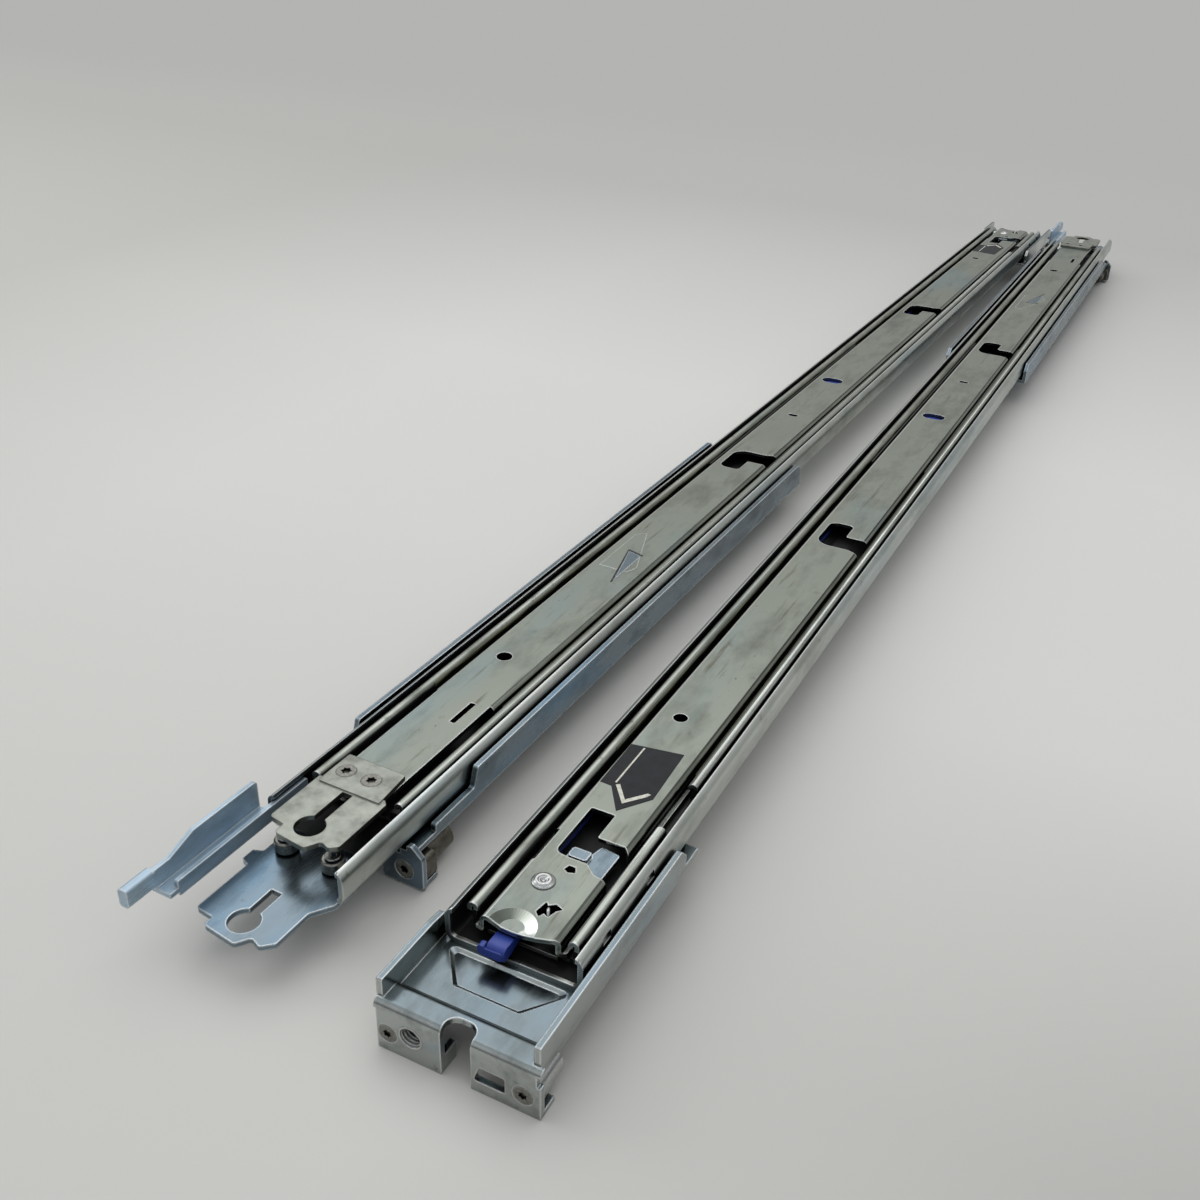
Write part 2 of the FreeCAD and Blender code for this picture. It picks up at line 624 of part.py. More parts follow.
def bracket_rivets():
    """Rivet heads under the pan, where the outer member is held on it."""
    heads = []
    for v in RIVET_ROWS:
        for side in (-1, 1):
            heads.append(post(side * RIVET_W, v, PAN_LOW - RIVET_HEAD, PAN_LOW, RIVET_RADIUS))
    return Part.makeCompound(heads)


def tongue_outline():
    right = TONGUE_EAR_RIGHT
    left = -TONGUE_EAR_LEFT
    half = TONGUE_HALF
    step = OUTER_WALL_REAR
    tip = [(half, TONGUE_SHOULDER - 0.5, 1.0), (8.6, TONGUE_SHOULDER + 2.0, 1.0),
           (5.6, TONGUE_SHOULDER + 0.8, 1.0), (3.4, TONGUE_TIP, 1.2),
           (-6.4, TONGUE_TIP - 1.2, 1.2), (-6.0, TONGUE_SHOULDER + 0.2, 0.5),
           (-half, TONGUE_SHOULDER - 0.4, 0.8)]
    right_ear = [(half, step - 8.0, 0.5), (right, step - 6.0, 0.8), (right, step + 0.5, 1.0),
                 (half, step + 5.5, 1.5)]
    left_ear = [(-half, step, 0.5), (left, step - 1.0, 0.4), (left, step - 4.5, 0.4),
                (-half, step - 5.5, 0.5)]
    start = [(-half, TONGUE_START, 0.5), (half, TONGUE_START, 0.5)]
    return start + right_ear + tip + left_ear


def tongue():
    """Tongue under the rear of the outer member, with a keyhole and roller pins."""
    body = plate(tongue_outline(), PAN_TOP - TONGUE_SHEET, PAN_TOP)
    body = body.cut(keyhole(TONGUE_KEY_W, TONGUE_KEY_START, TONGUE_SHOULDER - TONGUE_KEY_BACK,
                            PAN_TOP - TONGUE_SHEET - BEYOND, PAN_TOP + BEYOND))
    seat_top = PAN_TOP + ROLLER_SEAT
    head_low = seat_top + SEAT_FIT + ROLLER_HEIGHT + RUN_GAP
    head_top = head_low + ROLLER_HEAD
    pins = []
    for side in (-1, 1):
        w = side * ROLLER_W
        pins.append(post(w, ROLLER_V, PAN_TOP, head_top, ROLLER_PIN_RADIUS))
        pins.append(post(w, ROLLER_V, head_low, head_top, ROLLER_HEAD_RADIUS))
        pins.append(post(w, ROLLER_V, PAN_TOP, seat_top, ROLLER_HEAD_RADIUS))
    return fuse([body] + pins)


def roller(side):
    """Guide roller that turns on a pin of the tongue."""
    w = side * ROLLER_W
    low = PAN_TOP + ROLLER_SEAT + SEAT_FIT
    ring = post(w, ROLLER_V, low, low + ROLLER_HEIGHT, ROLLER_RADIUS)
    rims = [e for e in ring.Edges if e.Curve.TypeId == "Part::GeomCircle"]
    ring = ring.makeChamfer(ROLLER_CHAMFER, rims)
    bore = post(w, ROLLER_V, low - BEYOND, low + ROLLER_HEIGHT + BEYOND,
                ROLLER_PIN_RADIUS + ROLLER_FIT)
    return ring.cut(bore)


# ================================================================= hooks
def hook_body(w, v, lever, nose, thumb):
    """Flat hook with a thumb pad, bored for its pivot."""
    body = fuse([plate(lever, HOOK_LOW, HOOK_TOP), plate(nose, HOOK_LOW, HOOK_TOP),
                 plate(thumb, HOOK_LOW, HOOK_TOP + HOOK_THUMB)])
    bore = post(w, v, HOOK_LOW - BEYOND, HOOK_TOP + HOOK_THUMB + BEYOND,
                HOOK_PIVOT_RADIUS + PIVOT_FIT)
    return body.cut(bore)


def hook_pivot(w, v, seat):
    """Headed pin that hangs from the bracket above and carries a hook."""
    head_top = HOOK_LOW - HOOK_HEAD_GAP
    shank = post(w, v, head_top, seat, HOOK_PIVOT_RADIUS)
    head = post(w, v, head_top - HOOK_HEAD, head_top, HOOK_HEAD_RADIUS)
    return fuse([shank, head])


def front_hook():
    """Sprung hook beside the lower pin, which catches behind the rack flange."""
    w = FRONT_HOOK_W
    v = FRONT_HOOK_V
    lever = [(w - 2.4, v - 3.1, 2.0), (w + 2.4, v - 3.1, 2.0), (w + 2.8, v + 13.4, 1.5),
             (w - 1.6, v + 13.9, 1.5)]
    nose = [(w - 3.3, v - 17.6, 0.4), (w - 1.0, v - 16.2, 0.5), (w + 1.0, v - 0.6, 0.6),
            (w - 1.6, v - 0.6, 0.6), (w - 2.0, v - 13.1, 0.4), (w - 3.3, v - 14.0, 0.3)]
    thumb = [(w - 1.6, v + 3.4, 1.0), (w + 2.4, v + 3.4, 1.0), (w + 2.8, v + 13.4, 1.5),
             (w - 1.4, v + 13.4, 1.5)]
    return hook_body(w, v, lever, nose, thumb)


def front_hook_pin():
    return hook_pivot(FRONT_HOOK_W, FRONT_HOOK_V, PAN_LOW)


def rear_hook():
    """Sprung hook beside the lower rear pin."""
    w = REAR_HOOK_W
    v = REAR_HOOK_V
    lever = [(w - 2.6, v - 14.0, 1.5), (w + 2.0, v - 14.0, 1.5), (w + 2.8, v + 6.0, 1.5),
             (w - 1.6, v + 6.0, 2.0)]
    nose = [(w - 1.2, v + 2.0, 0.6), (w + 2.2, v + 2.0, 0.6), (w + 7.0, v + 12.0, 0.6),
            (w + 7.0, v + 28.0, 0.4), (w + 4.2, v + 26.6, 0.4), (w + 4.2, v + 24.6, 0.3),
            (w + 5.2, v + 24.0, 0.3), (w + 5.2, v + 14.0, 0.6)]
    thumb = [(w - 2.6, v - 14.0, 1.0), (w + 1.8, v - 14.0, 1.0), (w + 1.8, v - 11.0, 0.5),
             (w - 2.6, v - 11.0, 0.5)]
    return hook_body(w, v, lever, nose, thumb)


def rear_hook_pin():
    return hook_pivot(REAR_HOOK_W, REAR_HOOK_V, REAR_LOW)


# ================================================================= rear bracket
def rear_ear(side):
    """Rear ear: beside the wall of the outer member it rises, inside it stays low."""
    inner = side * REAR_EAR_INNER
    outer = side * REAR_EAR_OUTER
    wall = side * (OUTER_HALF + RUN_GAP)
    outline = [(inner, REAR_EAR_BOTTOM, 1.0), (outer, REAR_EAR_BOTTOM, 1.0),
               (outer, REAR_EAR_TOP - 3.0, 1.5), (outer - side * 3.0, REAR_EAR_TOP, 1.0),
               (wall, REAR_EAR_TOP, 0.3), (wall, REAR_LOW, 0.3), (inner, REAR_LOW, 0.5)]
    ear = along(outline, REAR_EAR_FACE, REAR_EAR_V)
    hole = Part.makeCone(REAR_SCREW_RADIUS + SEAT_FIT, REAR_SCREW_HEAD_RADIUS + SEAT_FIT,
                         BRACKET_SHEET, V(side * PIN_HALF, REAR_EAR_FACE, PIN_HEIGHT), V(0, 1, 0))
    shelf = block(min(inner, outer) + 0.6, max(inner, outer) - 0.6,
                  REAR_EAR_FACE - REAR_BLOCK_DEPTH, REAR_EAR_FACE,
                  REAR_EAR_BOTTOM, REAR_EAR_BOTTOM + REAR_EAR_SHELF)
    return [ear.cut(hole), shelf]


def rear_flange(w, top, end):
    """Side flange of the rear bracket, high over the slide and low at the ear."""
    outline = [(REAR_BRACKET_START, REAR_LOW), (end, REAR_LOW), (end, REAR_LOW_FLANGE_TOP),
               (REAR_FLANGE_STEP + 2.0, REAR_LOW_FLANGE_TOP), (REAR_FLANGE_STEP, top),
               (REAR_BRACKET_START + REAR_BRACKET_NOSE, top),
               (REAR_BRACKET_START, top - REAR_BRACKET_NOSE)]
    return across(outline, w, w + BRACKET_SHEET, 0.8)


def rear_bracket():
    """Bracket that slides under the outer member to suit the depth of the rack."""
    floor = block(-BRACKET_HALF, BRACKET_HALF, REAR_BRACKET_START, REAR_EAR_V, REAR_LOW, REAR_TOP)
    web_half = BRACKET_HALF - REAR_RAIL_WIDTH
    gap = block(-web_half, web_half, REAR_WEB_END, REAR_EAR_V + BEYOND,
                REAR_LOW - BEYOND, REAR_TOP + BEYOND)
    right = rear_flange(BRACKET_HALF - BRACKET_SHEET, REAR_FLANGE_TOP, REAR_FLANGE_END)
    left = rear_flange(-BRACKET_HALF, REAR_FLANGE_TOP_LEFT, REAR_EAR_V)
    body = fuse([floor.cut(gap), right, left] + rear_ear(-1) + rear_ear(1))
    slots = []
    for v in REAR_SLOT_ROWS:
        outline = rectangle(0, v + REAR_SLOT_LENGTH / 2, REAR_SLOT_WIDTH, REAR_SLOT_LENGTH)
        slots.append(plate(outline, REAR_LOW - BEYOND, REAR_TOP + BEYOND, REAR_SLOT_WIDTH * 0.49))
    return body.cut(Part.makeCompound(slots))


def rear_pins():
    """Cast blocks on the rear ears; each carries one rack pin that points forward."""
    blocks = []
    front = REAR_EAR_FACE - REAR_BLOCK_DEPTH
    low = REAR_EAR_BOTTOM + REAR_EAR_SHELF
    for side in (-1, 1):
        inner = side * (PIN_HALF - REAR_BLOCK_IN)
        outer = side * (PIN_HALF + REAR_BLOCK_OUT)
        shape = along([(inner, low, 0.6), (outer, low, 0.6), (outer, REAR_BLOCK_TOP, 1.5),
                       (inner, REAR_BLOCK_TOP, 1.5)], front, REAR_EAR_FACE)
        pin = rack_pin(side * PIN_HALF, front - PIN_LENGTH, front, front - PIN_LENGTH)
        bore = rod(side * PIN_HALF, PIN_HEIGHT, REAR_EAR_FACE - REAR_SCREW_LENGTH - 0.2,
                   REAR_EAR_FACE + BEYOND, REAR_SCREW_RADIUS + SEAT_FIT)
        blocks.append(fuse([shape, pin]).cut(bore))
    return Part.makeCompound(blocks)


def rear_screws():
    """Countersunk screws that hold the cast blocks on the rear ears."""
    screws = []
    for side in (-1, 1):
        w = side * PIN_HALF
        shank = rod(w, PIN_HEIGHT, REAR_EAR_FACE - REAR_SCREW_LENGTH, REAR_EAR_FACE,
                    REAR_SCREW_RADIUS)
        head = Part.makeCone(REAR_SCREW_RADIUS, REAR_SCREW_HEAD_RADIUS, BRACKET_SHEET,
                             V(w, REAR_EAR_FACE, PIN_HEIGHT), V(0, 1, 0))
        socket = rod(w, PIN_HEIGHT, REAR_EAR_V - REAR_SOCKET_DEPTH, REAR_EAR_V + BEYOND,
                     SOCKET_RADIUS)
        screws.append(fuse([shank, head]).cut(socket))
    return Part.makeCompound(screws)


def rear_arm():
    """Channel-shaped arm that carries on from the lower wall of the outer member."""
    right = -OUTER_INSIDE + ARM_SHEET
    left = right - ARM_WIDTH
    floor = block(left, right, ARM_FLOOR_START, ARM_END, ARM_FLOOR, ARM_FLOOR + ARM_SHEET)
    step = ARM_HIGH - ARM_STEP
    high = across([(ARM_FLOOR_START, ARM_FLOOR), (ARM_END, ARM_FLOOR), (ARM_END, step),
                   (ARM_END - 5.0, step), (ARM_END - 12.6, ARM_HIGH), (ARM_FLOOR_START, ARM_HIGH)],
                  left, left + ARM_SHEET, 0.9)
    low_edge = OUTER_FLOOR + ARM_LOW_RISE
    low = across([(ARM_START, low_edge), (ARM_END - 2.5, low_edge), (ARM_END - 2.5, ARM_LOW),
                  (ARM_START, ARM_LOW)], right - ARM_SHEET, right, 0.5)
    curl = along([(left - ARM_CURL_OUT, ARM_FLOOR + 1.0), (left + ARM_SHEET, ARM_FLOOR + 1.0),
                  (left + ARM_SHEET, step), (left - ARM_CURL_OUT, step)],
                 ARM_END - 0.5, ARM_END + ARM_CURL, 0.9)
    return fuse([floor, high, low, curl])


# ================================================================= ball cages
def ball_rows(start, length, count):
    pitch = length / count
    return [start + pitch * (i + 0.5) for i in range(count)]


def cage(strip_w, z0, z1, rows, ball_z, radius):
    """Two side strips with a pocket for each ball."""
    pitch = rows[1] - rows[0]
    strips = []
    for side in (-1, 1):
        w = side * strip_w
        strip = block(w - CAGE_SHEET / 2, w + CAGE_SHEET / 2, rows[0] - pitch / 2,
                      rows[-1] + pitch / 2, z0, z1)
        pockets = []
        for v in rows:
            pockets.append(Part.makeCylinder(radius + POCKET_CLEARANCE, 2 * CAGE_SHEET,
                                             V(w - CAGE_SHEET, v, ball_z), V(1, 0, 0)))
        strips.append(strip.cut(Part.makeCompound(pockets)))
    return Part.makeCompound(strips)


def balls(ball_w, ball_z, rows, radius):
    found = []
    for side in (-1, 1):
        for v in rows:
            found.append(Part.makeSphere(radius, V(side * ball_w, v, ball_z)))
    return Part.makeCompound(found)


def outer_rows():
    return ball_rows(OUTER_CAGE_START, OUTER_CAGE_LENGTH, OUTER_BALL_COUNT)


def inner_rows():
    return ball_rows(INNER_CAGE_START, INNER_CAGE_LENGTH, INNER_BALL_COUNT)


def outer_cage():
    return cage(OUTER_BALL_W, OUTER_BALL_Z - OUTER_CAGE_HEIGHT / 2,
                OUTER_BALL_Z + OUTER_CAGE_HEIGHT / 2, outer_rows(), OUTER_BALL_Z,
                OUTER_BALL_RADIUS)


def outer_balls():
    return balls(OUTER_BALL_W, OUTER_BALL_Z, outer_rows(), OUTER_BALL_RADIUS)


def inner_cage():
    """The strips stand above the feet, between the plate and the hem."""
    low = INNER_FOOT_TOP + CAGE_GAP
    return cage(INNER_CAGE_W, low, low + INNER_CAGE_HEIGHT, inner_rows(), INNER_BALL_Z,
                INNER_BALL_RADIUS)


def inner_balls():
    return balls(INNER_BALL_W, INNER_BALL_Z, inner_rows(), INNER_BALL_RADIUS)


# ================================================================= middle member
def middle_rail():
    """Sliding channel with stepped walls, whose lips are hemmed down over the balls."""
    s = MIDDLE_SHEET / 2
    half = [(MIDDLE_HALF_LOW - s, MIDDLE_BOTTOM + s),
            (MIDDLE_HALF_LOW - s, MIDDLE_TOP - MIDDLE_STEP_LOW),
            (MIDDLE_HALF_TOP - s, MIDDLE_TOP - MIDDLE_STEP_HIGH),
            (MIDDLE_HALF_TOP - s, MIDDLE_TOP - s),
            (MIDDLE_LIP_EDGE + s, MIDDLE_TOP - s),
            (MIDDLE_LIP_EDGE + s, MIDDLE_TOP - MIDDLE_HEM)]
    body = channel(half, MIDDLE_SHEET, MIDDLE_BEND, MIDDLE_FRONT, MIDDLE_REAR)
    cuts = [block(MIDDLE_LIP_EDGE - BEYOND, MIDDLE_HALF_TOP + BEYOND, MIDDLE_GAP_START,
                  MIDDLE_GAP_END, MIDDLE_FLOOR + MIDDLE_GAP_SILL, MIDDLE_TOP + BEYOND)]
    for side in (-1, 1):
        inner = side * (INNER_HALF - BEYOND)
        outer = side * (MIDDLE_HALF_TOP + BEYOND)
        cuts.append(block(min(inner, outer), max(inner, outer), MIDDLE_FRONT - BEYOND,
                          MIDDLE_FRONT + MIDDLE_NOSE_DEPTH, MIDDLE_BOTTOM - BEYOND,
                          MIDDLE_TOP - MIDDLE_STEP_HIGH))
    for v in MIDDLE_HOLE_ROWS:
        cuts.append(post(0, v, MIDDLE_BOTTOM - BEYOND, MIDDLE_FLOOR + BEYOND, MIDDLE_HOLE_RADIUS))
    return body.cut(Part.makeCompound(cuts))


def rear_stops():
    """Plastic buffers in the rear of the middle member, behind the inner legs."""
    strips = []
    top = MIDDLE_TOP - MIDDLE_STEP_LOW - MIDDLE_BEND
    for side in (-1, 1):
        near = side * (INNER_HALF - STOP_OVERLAP)
        far = side * MIDDLE_INSIDE
        strips.append(block(min(near, far), max(near, far), INNER_LEG_REAR + STOP_GAP,
                            MIDDLE_REAR - STOP_END, MIDDLE_FLOOR, top))
    return Part.makeCompound(strips)


# ================================================================= inner member
def server_slot(v):
    """Slot that takes a shoulder pin from above and holds it towards the rear."""
    entry_low = v - SLOT_ENTRY / 2 - SLOT_SHIFT
    entry_high = v + SLOT_ENTRY / 2 - SLOT_SHIFT
    hold_end = v + SLOT_HOLD_LENGTH
    hold_right = SLOT_LEFT + SLOT_HOLD_WIDTH
    edge = INNER_FOOT + BEYOND
    outline = [(edge, entry_low - SLOT_FLARE, 0), (edge, entry_high, 0),
               (hold_right, entry_high, 0.8), (hold_right, hold_end, 1.8),
               (SLOT_LEFT, hold_end, 3.0), (SLOT_LEFT, entry_low, 5.0),
               (INNER_HALF - 4.0, entry_low, 2.5)]
    return plate(outline, INNER_LEG_BOTTOM - BEYOND, INNER_TOP + BEYOND)


def latch_openings():
    """Bay over the front latch, the notch beside it and the two small windows."""
    low = INNER_LEG_BOTTOM - BEYOND
    under = INNER_UNDER - BEYOND
    top = INNER_TOP + BEYOND
    edge = INNER_FOOT + BEYOND
    front = LATCH_BAY_FRONT
    bay = [(LATCH_BAY_LEFT, front + 0.4, 2.0), (LATCH_BAY_LEFT, LATCH_BAY_REAR, 0.5),
           (LATCH_BAY_NECK, LATCH_BAY_REAR, 0.5), (LATCH_BAY_NECK, LATCH_BAY_SHOULDER, 0.6),
           (INNER_HALF - 1.6, LATCH_BAY_SHOULDER, 1.0), (edge, LATCH_BAY_SHOULDER - 3.0, 0.3),
           (edge, front - 3.5, 0), (6.0, front - 2.5, 1.5), (3.2, front, 1.0),
           (-1.5, front, 1.5)]
    notch = [(-edge, EDGE_NOTCH_FRONT, 0), (-INNER_HALF + EDGE_NOTCH_DEPTH, EDGE_NOTCH_FRONT, 0.4),
             (-INNER_HALF + EDGE_NOTCH_DEPTH, EDGE_NOTCH_REAR, 0.4), (-edge, EDGE_NOTCH_REAR, 0)]
    rivet_window = [(-0.6, 46.0), (0.6, 45.4), (2.2, 46.0), (1.4, 47.6), (-0.2, 47.6)]
    spring_window = [(0.6, 31.6), (1.8, 30.4), (2.4, 31.8), (3.6, 31.2), (4.4, 33.6), (5.4, 34.6),
                     (3.4, 35.4), (2.0, 34.2), (1.2, 35.2)]
    return [plate(bay, low, top), plate(notch, INNER_UNDER - EDGE_NOTCH_DROP, top),
            plate(rivet_window, under, top, 0.3), plate(spring_window, under, top, 0.2),
            post(LATCH_PIVOT_W, LATCH_PIVOT_V, under, top, PIVOT_RADIUS + SEAT_FIT)]


def inner_cutters():
    """Everything that is cut through the plate of the inner member."""
    z0 = INNER_UNDER - BEYOND
    z1 = INNER_TOP + BEYOND
    cuts = [server_slot(SLOT_FIRST + SLOT_PITCH * i) for i in range(SLOT_COUNT)]
    cuts.append(post(FRONT_HOLE_W, FRONT_HOLE_V, z0, z1, FRONT_HOLE_RADIUS))
    cuts.append(post(REAR_HOLE_W, REAR_HOLE_V, z0, z1, REAR_HOLE_RADIUS))
    cuts.append(plate(rectangle(RELEASE_WINDOW_W, RELEASE_WINDOW_V, RELEASE_WINDOW_WIDTH,
                                RELEASE_WINDOW_LENGTH), z0, z1, RELEASE_WINDOW_LENGTH * 0.49))
    cuts.append(plate(rectangle(GAUGE_SLOT_W, GAUGE_SLOT_V, GAUGE_SLOT_WIDTH, GAUGE_SLOT_LENGTH),
                      z0, z1, GAUGE_SLOT_LENGTH * 0.49))
    cuts.append(plate(rectangle(LANCE_W, LANCE_V, LANCE_WIDTH, LANCE_LENGTH), z0, z1, 0.3))
    front = TRIANGLE_V - TRIANGLE_LENGTH / 2
    rear = TRIANGLE_V + TRIANGLE_LENGTH / 2
    triangle = [(TRIANGLE_LEFT, front), (TRIANGLE_LEFT + TRIANGLE_TIP, front - TRIANGLE_TIP),
                (TRIANGLE_RIGHT, rear - 3.0), (TRIANGLE_RIGHT - 1.2, rear), (TRIANGLE_LEFT, rear)]
    cuts.append(plate(triangle, z0, z1, 0.8))
    for w in CABLE_SCREW_ROWS:
        cuts.append(post(w, CABLE_SCREW_V, z0, z1, CABLE_SCREW_RADIUS + SEAT_FIT))
    return cuts + latch_openings()


def inner_rail():
    """Member that the server hangs on: a plate with two footed legs and many openings."""
    s = INNER_SHEET / 2
    half = [(INNER_HALF - s, INNER_TOP - s), (INNER_HALF - s, INNER_LEG_BOTTOM + s),
            (INNER_FOOT, INNER_LEG_BOTTOM + s)]
    body = channel(half, INNER_SHEET, INNER_BEND, INNER_FRONT, INNER_REAR)
    dish = V(DISH_W, INNER_FRONT + DISH_BACK, INNER_TOP + DISH_RADIUS - DISH_DEPTH)
    under = block(-INNER_TAIL_HALF, INNER_TAIL_HALF, INNER_FRONT, INNER_FRONT + 2 * DISH_HALF,
                  INNER_LEG_BOTTOM, INNER_UNDER + INNER_SHEET / 2)
    body = fuse([body, Part.makeSphere(DISH_RADIUS + INNER_SHEET, dish).common(under)])
    low = INNER_LEG_BOTTOM - BEYOND
    top = INNER_TOP + BEYOND
    edge = INNER_FOOT + BEYOND
    front = INNER_FRONT - 2 * BEYOND
    nose = [(-edge, front), (edge, front), (edge, INNER_FRONT + 3.2, 0),
            (7.5, INNER_FRONT + 1.0, 2.0), (1.5, INNER_FRONT - 0.9, 3.0),
            (-5.0, INNER_FRONT + 0.2, 2.0), (-edge, INNER_FRONT + 1.0, 0)]
    cuts = [plate(nose, low, top)]
    for side in (-1, 1):
        inner = side * INNER_TAIL_HALF
        outer = side * edge
        cuts.append(block(min(inner, outer), max(inner, outer), INNER_LEG_REAR,
                          INNER_REAR + BEYOND, low, top))
    body = body.cut(Part.makeCompound(cuts + inner_cutters()))
    return body.cut(Part.makeSphere(DISH_RADIUS, dish)).removeSplitter()


# ================================================================= latch and release
def front_latch():
    """Latch plate under the inner member; its nose holds the server pin."""
    outline = [(-5.4, 37.2, 1.8), (0.8, 36.4, 1.5), (7.4, 44.5, 1.0), (7.6, 57.4, 0.8),
               (2.6, 58.2, 0.6), (1.6, LATCH_NOSE_REAR - 0.2, 0.5),
               (-2.8, LATCH_NOSE_REAR - 0.2, 0.8), (-4.2, 46.0, 1.5)]
    nose = [(LATCH_NOSE_LEFT, LATCH_NOSE_FRONT, 1.0), (LATCH_NOSE_RIGHT, LATCH_NOSE_FRONT, 0.8),
            (LATCH_NOSE_RIGHT, LATCH_NOSE_REAR, 0.6), (LATCH_NOSE_LEFT, LATCH_NOSE_REAR, 0.8)]
    body = fuse([plate(outline, LATCH_LOW, LATCH_TOP),
                 plate(nose, LATCH_TOP - 0.1, INNER_TOP - LATCH_NOSE_DROP)])
    bore = post(LATCH_PIVOT_W, LATCH_PIVOT_V, LATCH_LOW - BEYOND, LATCH_TOP + BEYOND,
                PIVOT_RADIUS + PIVOT_FIT)
    return body.cut(bore)


def latch_pivot():
    """Shouldered rivet that the latch turns on."""
    foot_top = LATCH_LOW - PIVOT_FOOT_GAP
    head_top = INNER_TOP + PIVOT_HEAD
    shank = post(LATCH_PIVOT_W, LATCH_PIVOT_V, foot_top, INNER_TOP, PIVOT_RADIUS)
    head = post(LATCH_PIVOT_W, LATCH_PIVOT_V, INNER_TOP, head_top, PIVOT_HEAD_RADIUS)
    foot = post(LATCH_PIVOT_W, LATCH_PIVOT_V, foot_top - PIVOT_FOOT, foot_top, PIVOT_FOOT_RADIUS)
    socket = post(LATCH_PIVOT_W, LATCH_PIVOT_V, INNER_TOP - 0.4, head_top + BEYOND,
                  PIVOT_SOCKET_RADIUS)
    return fuse([shank, head, foot]).cut(socket)


def release_tab():
    """Finger tab in front of the inner member: a round stem and a lip with a raised end."""
    low = BAR_LOW - TAB_DROP
    top = BAR_LOW + TAB_RISE
    root = INNER_FRONT + BAR_ROOT
    side = [(root + 1.0, BAR_LOW), (root + 1.0, BAR_TOP), (INNER_FRONT + 0.6, top - 0.2, 1.2),
            (TAB_FRONT + 0.3, top, 1.7), (TAB_FRONT + 0.1, low, 0.6), (TAB_FRONT + 2.6, low, 0.8),
            (INNER_FRONT + 1.2, BAR_LOW, 0.8)]
    stem = across(side, TAB_STEM_LEFT, TAB_RIGHT)
    rise = BAR_LOW + TAB_LIP_RISE
    lip = along([(TAB_LEFT, low + 0.1, 0.9), (TAB_RIGHT - 0.4, low, 0.8),
                 (TAB_RIGHT - 0.4, rise - 0.3, 0.8), (TAB_STEM_LEFT - 0.2, rise - 0.5, 0.3),
                 (TAB_STEM_LEFT - 0.6, rise, 0.4), (TAB_LEFT, rise, 0.8)],
                TAB_FRONT, TAB_FRONT + TAB_LIP)
    return [stem, lip]


def release_slider():
    """Plastic release bar beside the lower leg: a tab at the front, a pad at the window."""
    rear = RELEASE_WINDOW_V + PAD_REAR
    root = INNER_FRONT + BAR_ROOT
    bar = block(BAR_LEFT, BAR_RIGHT, root, rear - 1.0, BAR_LOW, BAR_TOP)
    cross = block(BAR_LEFT, TAB_RIGHT, root, root + BAR_ROOT_LENGTH, BAR_LOW, BAR_TOP)
    pad_front = RELEASE_WINDOW_V - PAD_FRONT
    pad = plate([(BAR_LEFT, pad_front), (PAD_RIGHT, pad_front), (PAD_RIGHT, rear),
                 (BAR_LEFT, rear)], BAR_LOW, INNER_UNDER - RUN_GAP, 0.6)
    return fuse([bar, cross, pad] + release_tab())


def label():
    """Arrow-shaped sticker that points to the front."""
    return plate([(5.2, 97.5), (-8.4, 95.2), (-8.2, 77.8), (-5.1, 77.6), (0.2, 69.6), (6.0, 77.7)],
                 INNER_TOP, INNER_TOP + LABEL_THICK)


# ================================================================= cable plate
def cable_plate():
    """Cast plate at the rear of the inner member, with a step and a keyhole."""
    low = INNER_TOP
    top = low + CABLE_PLATE_RISE
    left = -INNER_HALF + 0.4
    step = CABLE_PLATE_STEP
    half = CABLE_PLATE_HALF
    shoulder = CABLE_PLATE_SHOULDER
    flange = plate([(left, CABLE_PLATE_START), (7.8, CABLE_PLATE_START), (8.8, step + 2.0),
                    (left, step + 2.0)], low, low + CABLE_PLATE_SHEET, 0.5)
    outline = [(-half, step, 0.5), (half - 1.2, step, 0.3), (half, step + 1.2, 0.4),
               (half, shoulder, 1.0), (8.4, shoulder + 1.6, 1.0), (5.8, shoulder + 0.6, 1.0),
               (3.6, CABLE_PLATE_TIP, 1.2), (-5.8, CABLE_PLATE_TIP - 1.0, 1.2),
               (-5.6, shoulder, 0.5), (-half, shoulder - 0.6, 1.2)]
    body = fuse([flange, plate(outline, top - CABLE_PLATE_SHEET, top)])
    cuts = [keyhole(0.0, step + CABLE_KEY_FRONT, shoulder - CABLE_KEY_BACK,
                    top - CABLE_PLATE_SHEET - BEYOND, low + CABLE_PLATE_SHEET + BEYOND)]
    face = low + CABLE_PLATE_SHEET
    for w in CABLE_SCREW_ROWS:
        cuts.append(post(w, CABLE_SCREW_V, low - BEYOND, face, CABLE_SCREW_RADIUS + SEAT_FIT))
        cuts.append(Part.makeCone(CABLE_SCREW_RADIUS + SEAT_FIT, CABLE_SCREW_HEAD_RADIUS + SEAT_FIT,
                                  CABLE_SCREW_HEAD, V(w, CABLE_SCREW_V, face - CABLE_SCREW_HEAD),
                                  V(0, 0, 1)))
    return body.cut(Part.makeCompound(cuts))


def cable_screws():
    """Countersunk screws that hold the cable plate on the inner member."""
    screws = []
    face = INNER_TOP + CABLE_PLATE_SHEET
    for w in CABLE_SCREW_ROWS:
        shank = post(w, CABLE_SCREW_V, INNER_UNDER, face - CABLE_SCREW_HEAD, CABLE_SCREW_RADIUS)
        head = Part.makeCone(CABLE_SCREW_RADIUS, CABLE_SCREW_HEAD_RADIUS, CABLE_SCREW_HEAD,
                             V(w, CABLE_SCREW_V, face - CABLE_SCREW_HEAD), V(0, 0, 1))
        socket = post(w, CABLE_SCREW_V, face - CABLE_SOCKET_DEPTH, face + BEYOND,
                      CABLE_SOCKET_RADIUS)
        screws.append(fuse([shank, head]).cut(socket))
    return Part.makeCompound(screws)


